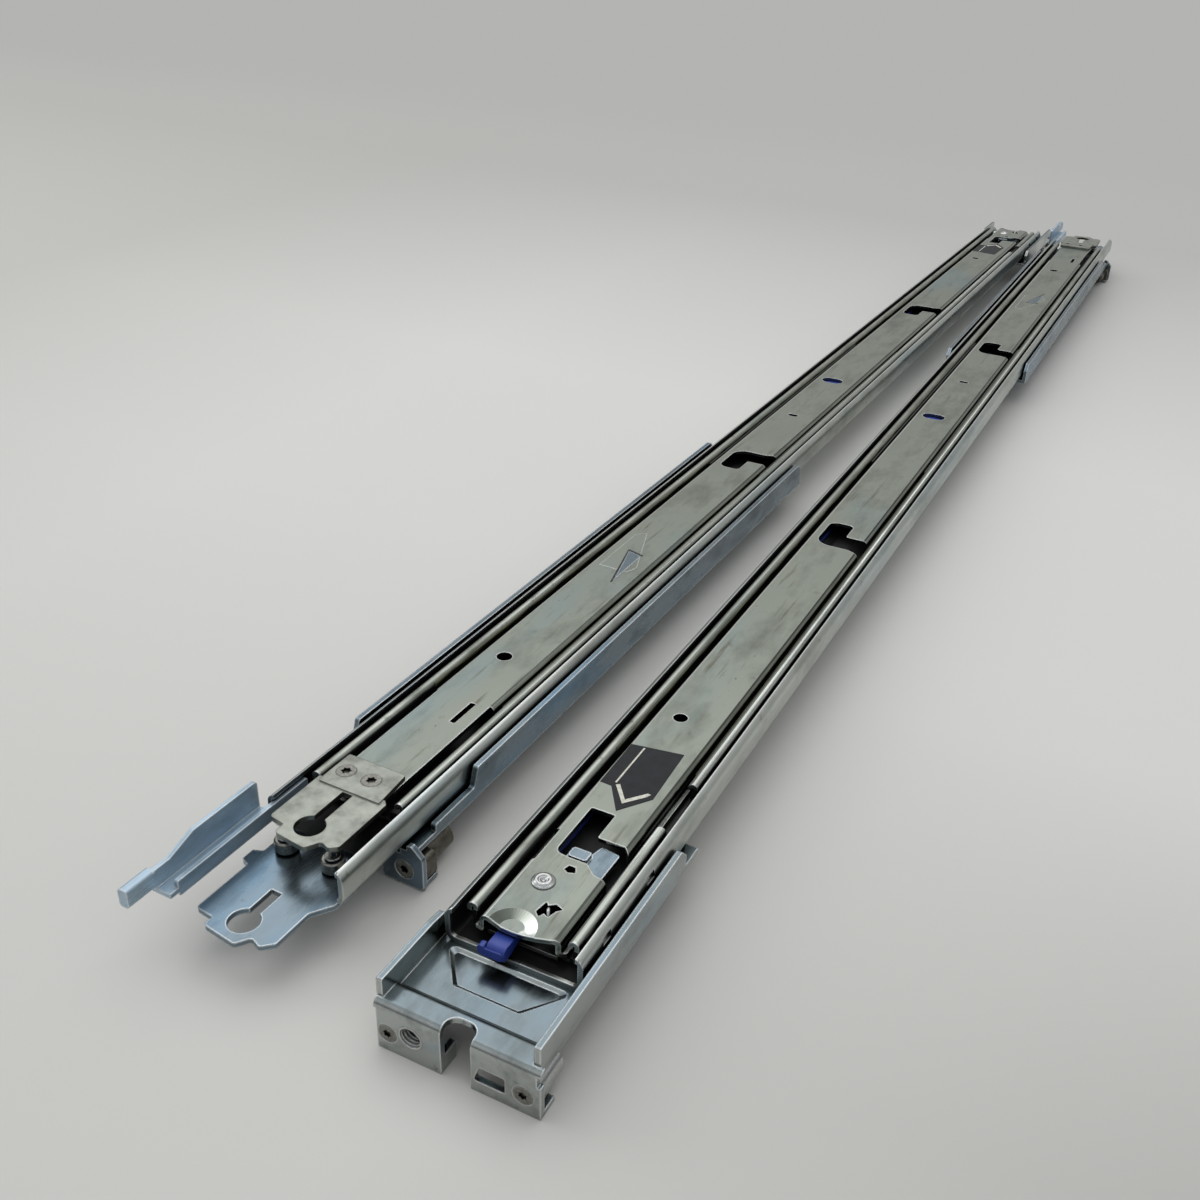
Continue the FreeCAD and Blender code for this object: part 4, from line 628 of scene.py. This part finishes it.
def copies_at(name, points, axis, source, finish, seed):
    """Copies of a source piece at row-frame points, all along one axis."""
    base = bpy.data.meshes.new(name + "_points")
    base.from_pydata([tuple(p) for p in points], [], [])
    tree = bpy.data.node_groups.get("placed_copies") or copies_tree()
    return grown(name, base, tree, {"Piece": source, "Axis": tuple(axis), "Seed": seed,
                                    "Finish": finish})


# ================================================================= settings
class FinishSettings(bpy.types.PropertyGroup):
    """Colours of the background and strength of the light."""
    # the paper colours paint its shade: greyer behind the rails and on the shaded side
    paper_near: bpy.props.StringProperty(
        name="Paper near", description="sRGB hex of the paper at the front", default="dad9d5")
    paper_far: bpy.props.StringProperty(
        name="Paper far", description="sRGB hex of the paper behind the rails", default="b8b8b5")
    paper_side: bpy.props.StringProperty(
        name="Paper side", description="sRGB hex of the paper on the shaded side", default="b2b1ad")
    key_power: bpy.props.FloatProperty(
        name="Overhead light", description="Power of the large overhead light", default=24.0,
        min=0.0, unit="POWER")


class DetailSettings(bpy.types.PropertyGroup):
    """Sizes of the small parts, in millimetres."""
    pin_head: bpy.props.FloatProperty(
        name="Pin head radius", description="Radius of the screw in the front ears", default=2.15)
    ear_screw: bpy.props.FloatProperty(
        name="Ear screw radius", description="Radius of the rear ear screws", default=2.55)
    plate_screw: bpy.props.FloatProperty(
        name="Plate screw radius", description="Radius of the cable plate screws", default=2.6)
    roller_head: bpy.props.FloatProperty(
        name="Roller head radius", description="Radius of the roller pins' heads", default=1.9)
    thread_radius: bpy.props.FloatProperty(
        name="Thread radius", description="Radius of the captive screw thread", default=2.5)
    grease_height: bpy.props.FloatProperty(
        name="Grease height", description="Height of the grease line on the lips", default=1.3)


# ================================================================= operators
class RAILS_OT_stage(bpy.types.Operator):
    """Paper sweep, soft lights and the camera"""
    bl_idname = "rails.stage"
    bl_label = "Stage"

    HALF_WIDTH = 5.5          # of the paper, in metres like all sizes of the stage
    FRONT_EDGE = -2.0
    BEND_START = 4.2
    BEND_RADIUS = 1.4
    BEND_STEPS = 12
    WALL_TOP = 5.0
    BELOW_RAILS = 0.05 * MM
    LENS_MM = 38.466
    SENSOR_MM = 36.0
    EYE_TURN = (-26.72, 29.39, 1.67)            # yaw, pitch and roll in degrees
    EYE_PLACE = (102.42, -144.93, 209.86)       # local millimetres of the right rail

    def execute(self, context):
        settings = context.scene.rail_finish
        self.paper(settings)
        self.lights(settings)
        self.world()
        self.camera(context)
        context.scene.view_settings.view_transform = "Standard"
        return {"FINISHED"}

    def paper(self, settings):
        """Floor that bends up into a wall far behind the rails."""
        bm = bmesh.new()
        bend, radius = self.BEND_START, self.BEND_RADIUS
        rows = [(self.FRONT_EDGE, 0.0), (bend, 0.0)]
        for i in range(1, self.BEND_STEPS + 1):
            angle = math.radians(90 * i / self.BEND_STEPS)
            rows.append((bend + radius * math.sin(angle), radius - radius * math.cos(angle)))
        rows.append((bend + radius, self.WALL_TOP))
        lines = []
        for y, z in rows:
            lines.append([bm.verts.new((x, y, z - self.BELOW_RAILS))
                          for x in (-self.HALF_WIDTH, self.HALF_WIDTH)])
        for a, b in zip(lines, lines[1:]):
            bm.faces.new((a[0], a[1], b[1], b[0]))
        paper = object_from(bm, "paper_sweep", paper_sweep(
            settings.paper_near, settings.paper_far, settings.paper_side), True)

    def lights(self, settings):
        """One large soft light overhead and a low fill from the left."""
        for name, place, aim, size, power in (
                ("overhead", (-0.5, 0.85, 2.1), (0.0, 0.15, 0.0), 2.8, settings.key_power),
                ("window", (-2.2, -0.5, 1.2), (0.0, 0.0, 0.0), 1.2, settings.key_power * 0.3)):
            lamp = bpy.data.lights.new(name, "AREA")
            lamp.shape = "SQUARE"
            lamp.size = size
            lamp.energy = power
            light = linked(name, lamp)
            light.location = place
            direction = Vector(aim) - Vector(place)
            light.rotation_euler = direction.to_track_quat("-Z", "Y").to_euler()

    def world(self):
        """Grey room: pale above, darkest just over the horizon."""
        world = bpy.data.worlds.new("room")
        world.use_nodes = True
        tree = world.node_tree
        tree.nodes.clear()
        direction = add(tree, "ShaderNodeTexCoord").outputs["Generated"]
        height = add(tree, "ShaderNodeSeparateXYZ", {0: direction}).outputs[2]
        colour = ramp(tree, levels(tree, height, -0.1, 1.0, 0.0, 1.0),
                      [(0.0, "8b8b8c"), (0.12, "4c4e52"), (0.3, "a2a5a8"), (0.5, "d6d8da"),
                       (0.8, "eff1f3")])
        shine = add(tree, "ShaderNodeBackground", {0: colour, 1: 0.85})
        end = add(tree, "ShaderNodeOutputWorld")
        tree.links.new(shine.outputs[0], end.inputs[0])
        bpy.context.scene.world = world

    def camera(self, context):
        """Eye to the right of the near front bracket, looking down along the pair."""
        lens = bpy.data.cameras.new("camera")
        lens.sensor_width = self.SENSOR_MM
        lens.lens = self.LENS_MM
        lens.clip_start = 0.01
        eye = linked("camera", lens)
        yaw, pitch, roll = (math.radians(angle) for angle in self.EYE_TURN)
        forward = Vector((math.sin(yaw) * math.cos(pitch), math.cos(yaw) * math.cos(pitch),
                          -math.sin(pitch)))
        level = Vector((math.cos(yaw), -math.sin(yaw), 0.0))
        upright = level.cross(forward)
        right = level * math.cos(roll) + upright * math.sin(roll)
        up = upright * math.cos(roll) - level * math.sin(roll)
        place = RAILS["right"].at(*self.EYE_PLACE)
        eye.matrix_world = Matrix.Translation(place) @ Matrix(
            (right, up, -forward)).transposed().to_4x4()
        context.scene.camera = eye


class RAILS_OT_finishes(bpy.types.Operator):
    """Puts the real finish on every steel, cast and plastic part"""
    bl_idname = "rails.finishes"
    bl_label = "Finishes"

    GROUPS = (
        (galvanised_rail, ("outer_rail",)),
        (oiled_strip, ("middle_rail",)),
        (worn_plate, ("inner_rail",)),
        (bloomed_zinc, ("front_bracket",)),
        (blue_zinc, ("rear_bracket", "tongue", "front_hook", "rear_hook", "front_latch")),
        (pale_zinc, ("rear_arm",)),
        (nickel_turned, ("front_pins", "bracket_rivets", "front_hook_pin", "rear_hook_pin",
                         "latch_pivot")),
        (dull_steel, ("roller_low", "roller_high", "rear_screws", "cable_screws")),
        (dark_cast, ("rear_pins",)),
        (cast_zinc, ("cable_plate",)),
        (bearing_steel, ("outer_balls", "inner_balls")),
        (black_acetal, ("outer_cage", "inner_cage", "rear_stops")),
        (blue_acetal, ("release_slider",)),
        (label_film, ("label",)),
    )

    def execute(self, context):
        for finish, names in self.GROUPS:
            material = finish()
            for side in SIDES:
                for name in names:
                    slots = frame["nodes"][side + "_" + name].data.materials
                    slots.clear()
                    slots.append(material)
        return {"FINISHED"}


class RAILS_OT_rolled_rims(bpy.types.Operator):
    """Outer and middle members with fully rolled rims"""
    bl_idname = "rails.rolled_rims"
    bl_label = "Rolled rims"

    STEPS = 6                 # facets of a quarter turn
    SHARP = 28                # degrees between faces that keep a crease
    JOIN = 0.001              # points closer than this are one
    RIM_RADIUS = 2.55         # outer member
    LIP_RADIUS = 1.35         # middle member
    LIP_MIDDLE = 12.25
    UNSHADED_END = 0.9           # strip without painted shade at each end of the ways
    FLOOR_TOP = 13.0          # faces under this that look up are the outer member's floor
    RIM_DEPTH = 2.2           # the painted shade starts this far below the rim
    LIP_DEPTH = 1.5           # and this far below the lip

    def execute(self, context):
        low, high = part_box("right_outer_rail")
        half = (high.x - low.x) / 2 / MM
        shapes = {
            "outer_rail": (half - self.RIM_RADIUS, RIM_TOP - self.RIM_RADIUS, self.RIM_RADIUS),
            "middle_rail": (self.LIP_MIDDLE, LIP_TOP - self.LIP_RADIUS, self.LIP_RADIUS)}
        # nearly black film of painted shade for the inside of the channels
        film = channel_shade_film()
        for rail in RAILS.values():
            for node, (w, z, radius) in shapes.items():
                source = frame["nodes"][rail.side + "_" + node]
                bm = bmesh.new()
                bm.from_mesh(source.data)
                bmesh.ops.remove_doubles(bm, verts=bm.verts, dist=self.JOIN * MM)
                self.roll(bm, rail, w, z, radius)
                self.shade_channels(bm, rail, node == "outer_rail")
                piece = object_from(bm, rail.side + "_" + node + "_rolled",
                                    source.data.materials[0], True)
                piece.data.materials.append(film)
                piece.data.set_sharp_from_angle(angle=math.radians(self.SHARP))
                body = "rail_pair" if node == "outer_rail" else rail.body("middle")
                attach(piece, body)
                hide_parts(rail.side + "_" + node)
        return {"FINISHED"}

    def cut(self, bm, spot, normal):
        """Divides every face that a plane crosses."""
        bmesh.ops.bisect_plane(bm, geom=bm.verts[:] + bm.edges[:] + bm.faces[:],
                               dist=self.JOIN * MM, plane_co=spot, plane_no=normal)

    def shade_channels(self, bm, rail, outer):
        """Gives the ways the painted shade as their second finish: all but a bright strip at each
        end.
        """
        along = [(v.co - rail.origin).dot(rail.along) for v in bm.verts]
        front = min(along) + self.UNSHADED_END * MM
        rear = max(along) - self.UNSHADED_END * MM
        for place in (front, rear):
            self.cut(bm, rail.origin + rail.along * place, rail.along)
        bm.normal_update()
        for face in bm.faces:
            middle = face.calc_center_median()
            local = middle - rail.origin
            side = 1 if local.dot(rail.across) > 0 else -1
            inward = face.normal.dot(rail.across) * side < -0.3
            height = middle.z / MM
            if outer:
                floor = face.normal.z > 0.5 and height < self.FLOOR_TOP
                in_shade = height < RIM_TOP - self.RIM_DEPTH and (floor or inward)
            else:
                in_shade = height < LIP_TOP - self.LIP_DEPTH
            if in_shade and front < local.dot(rail.along) < rear:
                face.material_index = 1

    def roll(self, bm, rail, w, z, radius):
        """Cuts the rim into facets and draws what stands outside the circle back onto it."""
        planes = [(Vector((0, 0, z * MM)), Vector((0, 0, 1)))]
        for i in range(1, self.STEPS):
            angle = math.radians(90 * i / self.STEPS)
            level = z + radius * math.sin(angle)
            planes.append((Vector((0, 0, level * MM)), Vector((0, 0, 1))))
            for side in (-1, 1):
                for turn in (-1, 1):
                    place = side * (w + turn * radius * math.cos(angle))
                    planes.append((rail.at(place, 0, 0), rail.across))
        for spot, normal in planes:
            self.cut(bm, spot, normal)
        for vert in bm.verts:
            local = vert.co - rail.origin
            here = local.dot(rail.across) / MM
            side = 1 if here > 0 else -1
            out = abs(here) - w
            up = vert.co.z / MM - z
            reach = math.hypot(out, up)
            if up > 0 and reach > radius and out > -radius - 0.2:
                pull = (radius / reach - 1) * MM
                vert.co += rail.across * side * out * pull
                vert.co.z += up * pull


class RAILS_OT_plate_marks(bpy.types.Operator):
    """Pressed triangle in the plates of the inner members"""
    bl_idname = "rails.plate_marks"
    bl_label = "Plate marks"

    # outlines in w and v; the floor closes the plate's opening under the mark
    FLOOR = ((-5.9, 543.6), (-2.7, 540.8), (5.55, 564.8), (4.0, 568.9), (-5.9, 568.9))
    FACE = ((-2.1, 555.6), (3.0, 556.9), (3.1, 576.0))
    # thin black strips along the triangle's edges: painted shade of the pressed step
    EDGE_SHADE = ((-2.7, 554.9), (-2.2, 554.6), (3.5, 556.2), (3.3, 557.0), (-1.9, 555.8),
            (3.1, 577.0), (2.6, 577.2))

    def execute(self, context):
        plate = bpy.data.materials["worn_galvanised_plate"]
        bright = bpy.data.materials["blue_passivated_zinc"]
        shade = bpy.data.materials["black_acetal"]
        marks = (("triangle_floor", self.FLOOR, -0.9, 0.03, plate),
                 ("triangle_face", self.FACE, -0.2, 0.09, bright),
                 ("triangle_edge", self.EDGE_SHADE, -0.2, 0.07, shade))
        for rail in RAILS.values():
            for name, outline, low, high, finish in marks:
                bm = bmesh.new()
                prism(bm, outline, INNER_TOP + low, INNER_TOP + high)
                to_rail(bm, rail)
                piece = object_from(bm, rail.side + "_" + name, finish)
                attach(piece, rail.body("inner"))
        return {"FINISHED"}


class RAILS_OT_screws(bpy.types.Operator):
    """Six-lobe screw heads on the ears, the cable plates and the roller pins"""
    bl_idname = "rails.screws"
    bl_label = "Screws"

    EAR_PROUD = 0.12                          # front screw heads stand out of the ears
    REAR_EAR = 703.5                          # outer side of the rear ears, along the rail
    PLATE_SCREWS = ((-5.6, 696.2), (1.9, 696.2))
    ROLLER_PINS = ((-6.85, 717.4), (6.85, 717.4))
    ROLLER_TOP = 15.62

    def execute(self, context):
        sizes = context.scene.rail_details
        finish = bpy.data.materials["dull_plated_steel"]
        seed = 1
        up = Vector((0, 0, 1))
        pins = (-PIN_SPACING / 2, PIN_SPACING / 2)
        for rail in RAILS.values():
            groups = (
                ("pin_screws", "rail_pair", sizes.pin_head, 0.9, -rail.along, "",
                 [rail.at(w, -self.EAR_PROUD, PIN_HEIGHT) for w in pins]),
                ("ear_screws", rail.body("rear_bracket"), sizes.ear_screw, 1.5, rail.along,
                 "rear_screws", [rail.at(w, self.REAR_EAR, PIN_HEIGHT) for w in pins]),
                ("plate_screws", rail.body("inner"), sizes.plate_screw, 1.1, up,
                 "cable_screws", [rail.at(w, v, PLATE_TOP) for w, v in self.PLATE_SCREWS]),
                ("roller_screws", "rail_pair", sizes.roller_head, 0.5, up, "",
                 [rail.at(w, v, self.ROLLER_TOP) for w, v in self.ROLLER_PINS]),
            )
            for name, body, radius, height, axis, replaced, points in groups:
                source = six_lobe_head(name + "_source", radius, height, radius * 0.42,
                                       height * 0.7, finish)
                piece = copies_at(rail.side + "_" + name, points, axis, source, finish, seed)
                bpy.data.objects.remove(source)
                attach(piece, body)
                if replaced:
                    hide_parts(rail.side + "_" + replaced)
                seed += 1
        return {"FINISHED"}


class RAILS_OT_captive_threads(bpy.types.Operator):
    """Threaded collars for the captive screws, behind the front ears"""
    bl_idname = "rails.captive_threads"
    bl_label = "Captive threads"

    HALF_EAR = 0.75           # half of the ear's sheet
    THREAD_LENGTH = 3.9
    THREAD_START = -4.1
    TURNS = 4.9
    RIDGE = 0.33
    RIDGE_GAP = 0.12          # from the wall to the middle of the ridge
    FACETS = 40

    def execute(self, context):
        sizes = context.scene.rail_details
        finish = bpy.data.materials["nickel_plated_steel"]
        radius = sizes.thread_radius
        for rail in RAILS.values():
            hole = MOUNTS[rail.side + "_captive_hole"]
            outward = Vector(hole["axis"])
            face = Vector(hole["pos_m"]) + outward * self.HALF_EAR * MM
            turn = outward.to_track_quat("Z", "Y").to_matrix().to_4x4()
            place = Matrix.Translation(face) @ turn
            bm = bmesh.new()
            self.collar(bm, radius)
            bmesh.ops.transform(bm, matrix=place, verts=bm.verts)
            collar = object_from(bm, rail.side + "_captive_collar", finish, False)
            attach(collar, "rail_pair")
            tree = bpy.data.node_groups.get("thread_ridge") or ridge_tree()
            base = bpy.data.meshes.new("thread_base")
            ridge = grown(rail.side + "_captive_thread", base, tree,
                          {"Radius": (radius - self.RIDGE_GAP) * MM, "Turns": self.TURNS,
                           "Length": self.THREAD_LENGTH * MM, "Ridge": self.RIDGE * MM,
                           "Finish": finish})
            ridge.data.transform(place @ Matrix.Translation((0, 0, self.THREAD_START * MM)))
            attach(ridge, "rail_pair")
        return {"FINISHED"}

    def collar(self, bm, radius):
        """Tube through the ear with a bright countersunk mouth, axis z, mouth at z = 0."""
        stations = [(radius + 1.1, -1.55), (radius + 1.1, -4.3), (radius + 0.25, -4.5),
                    (radius - 0.02, -4.4), (radius - 0.02, -0.35), (radius + 0.28, 0.03),
                    (radius + 0.55, 0.03), (radius + 0.02, -0.25), (radius + 0.02, -1.55)]
        count = self.FACETS
        turns = [2 * math.pi * i / count for i in range(count)]
        loops = []
        for r, z in stations:
            loops.append([bm.verts.new((r * MM * math.cos(turn), r * MM * math.sin(turn), z * MM))
                          for turn in turns])
        for below, above in zip(loops, loops[1:] + loops[:1]):
            for i in range(count):
                j = (i + 1) % count
                bm.faces.new((below[i], below[j], above[j], above[i]))
        bmesh.ops.recalc_face_normals(bm, faces=bm.faces)


class RAILS_OT_label_marks(bpy.types.Operator):
    """Pale chevron and line printed on the arrow labels"""
    bl_idname = "rails.label_marks"
    bl_label = "Label marks"

    FILM = 0.1                # top of the sticker above the plate
    SUNK = 0.02
    PROUD = 0.03
    LINE = ((-4.9, 79.2), (-4.45, 79.2), (-4.45, 95.2), (-4.9, 95.1))
    CHEVRON = ((-4.3, 78.4), (-3.4, 77.3), (0.25, 72.6), (4.3, 77.6), (4.9, 78.9), (4.0, 79.0),
               (0.2, 74.3), (-3.5, 79.1))

    def execute(self, context):
        ink = label_ink()
        for rail in RAILS.values():
            bm = bmesh.new()
            top = INNER_TOP + self.FILM
            for outline in (self.LINE, self.CHEVRON):
                prism(bm, outline, top - self.SUNK, top + self.PROUD)
            to_rail(bm, rail)
            marks = object_from(bm, rail.side + "_label_marks", ink)
            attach(marks, rail.body("inner"))
        return {"FINISHED"}


class RAILS_OT_grease(bpy.types.Operator):
    """Line of olive grease along the lips of the middle members"""
    bl_idname = "rails.grease"
    bl_label = "Grease"

    START = 92.0
    END = 652.0
    STEP = 4.0
    LIP_INSIDE = 10.95        # from the middle of the rail
    BELOW_LIP = 0.55

    def execute(self, context):
        height = context.scene.rail_details.grease_height
        finish = bearing_grease()
        for rail in RAILS.values():
            bm = bmesh.new()
            for side in (-1, 1):
                self.bead(bm, side, height)
            to_rail(bm, rail)
            grease = object_from(bm, rail.side + "_grease", finish, True)
            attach(grease, rail.body("middle"))
        return {"FINISHED"}

    def bead(self, bm, side, height):
        """Low ridge with an uneven crest, stuck on the inside of a lip."""
        loops = []
        count = int((self.END - self.START) / self.STEP)
        for i in range(count + 1):
            v = self.START + i * self.STEP
            swell = 0.75 + 0.18 * math.sin(v * 0.31) + 0.07 * math.sin(v * 1.13 + side)
            top = LIP_TOP - self.BELOW_LIP
            low = top - height * swell
            out = self.LIP_INSIDE
            proud = 0.16 + 0.1 * swell
            section = [(out, top), (out - proud * 0.7, top - 0.1), (out - proud, (top + low) / 2),
                       (out - proud * 0.7, low + 0.1), (out, low)]
            loops.append([bm.verts.new((side * w, v, z)) for w, z in section])
        for below, above in zip(loops, loops[1:]):
            for i, corner in enumerate(below):
                j = (i + 1) % len(below)
                bm.faces.new((corner, below[j], above[j], above[i]))
        bm.faces.new(loops[0][::-1])
        bm.faces.new(loops[-1])


class RAILS_OT_latch_trim(bpy.types.Operator):
    """Domed pivot rivet and spring hook of the front latches"""
    bl_idname = "rails.latch_trim"
    bl_label = "Latch trim"

    PIVOT = (-2.6, 40.3)      # w and v of the latch's pivot
    WIRE_RADIUS = 0.42
    RIVET = ((2.75, 0.0), (2.75, 0.22), (2.45, 0.45), (2.2, 0.5), (1.95, 0.8), (1.5, 0.95),
             (1.15, 0.78), (0.95, 0.5), (0.55, 0.5), (0.45, 0.1))     # radius and height

    def execute(self, context):
        finish = bpy.data.materials["nickel_plated_steel"]
        for rail in RAILS.values():
            bm = bmesh.new()
            rings(bm, [(radius, height, False) for radius, height in self.RIVET], count=40)
            bmesh.ops.translate(bm, vec=(*self.PIVOT, INNER_TOP), verts=bm.verts)
            to_rail(bm, rail)
            rivet = object_from(bm, rail.side + "_pivot_rivet", finish, True)
            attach(rivet, rail.body("inner"))
            hook = self.spring_hook(rail, finish)
            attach(hook, rail.body("inner"))
        return {"FINISHED"}

    def spring_hook(self, rail, finish):
        """Wire end that comes up through the small window and bends over its edge."""
        route = [(1.9, 34.4, INNER_TOP - 2.2), (2.3, 33.9, INNER_TOP - 0.7),
                 (2.7, 33.2, INNER_TOP + 0.25), (3.1, 32.4, INNER_TOP + 0.3),
                 (3.4, 31.7, INNER_TOP - 0.5), (3.5, 31.4, INNER_TOP - 1.4)]
        line = bpy.data.curves.new("spring_route", "CURVE")
        line.dimensions = "3D"
        line.bevel_depth = self.WIRE_RADIUS * MM
        line.bevel_resolution = 3
        line.use_fill_caps = True
        spline = line.splines.new("NURBS")
        spline.points.add(len(route) - 1)
        for point, spot in zip(spline.points, route):
            point.co = (*rail.at(*spot), 1.0)
        spline.order_u = 3
        spline.use_endpoint_u = True
        wire = linked("spring_route", line)
        bpy.context.view_layer.update()
        mesh = bpy.data.meshes.new_from_object(wire)
        bpy.data.objects.remove(wire)
        mesh.materials.clear()
        mesh.materials.append(finish)
        for polygon in mesh.polygons:
            polygon.use_smooth = True
        return linked(rail.side + "_spring_hook", mesh)


OPERATORS = (RAILS_OT_stage, RAILS_OT_finishes, RAILS_OT_rolled_rims, RAILS_OT_plate_marks,
             RAILS_OT_screws, RAILS_OT_captive_threads, RAILS_OT_label_marks, RAILS_OT_grease,
             RAILS_OT_latch_trim)


class RAILS_PT_panel(bpy.types.Panel):
    """Sidebar panel that lists the steps of the build"""
    bl_idname = "RAILS_PT_panel"
    bl_label = "Server rail pair"
    bl_space_type = "VIEW_3D"
    bl_region_type = "UI"
    bl_category = "Rails"

    def draw(self, context):
        column = self.layout.column()
        for settings in (context.scene.rail_finish, context.scene.rail_details):
            for name in settings.__annotations__:
                column.prop(settings, name)
        for operator in OPERATORS:
            column.operator(operator.bl_idname)


CLASSES = (FinishSettings, DetailSettings) + OPERATORS + (RAILS_PT_panel,)


def register():
    for cls in CLASSES:
        bpy.utils.register_class(cls)
    bpy.types.Scene.rail_finish = bpy.props.PointerProperty(type=FinishSettings)
    bpy.types.Scene.rail_details = bpy.props.PointerProperty(type=DetailSettings)


def unregister():
    del bpy.types.Scene.rail_details
    del bpy.types.Scene.rail_finish
    for cls in reversed(CLASSES):
        bpy.utils.unregister_class(cls)


def main():
    register()
    for operator in OPERATORS:
        group, step = operator.bl_idname.split(".")
        getattr(getattr(bpy.ops, group), step)()


if __name__ == "__main__":
    main()
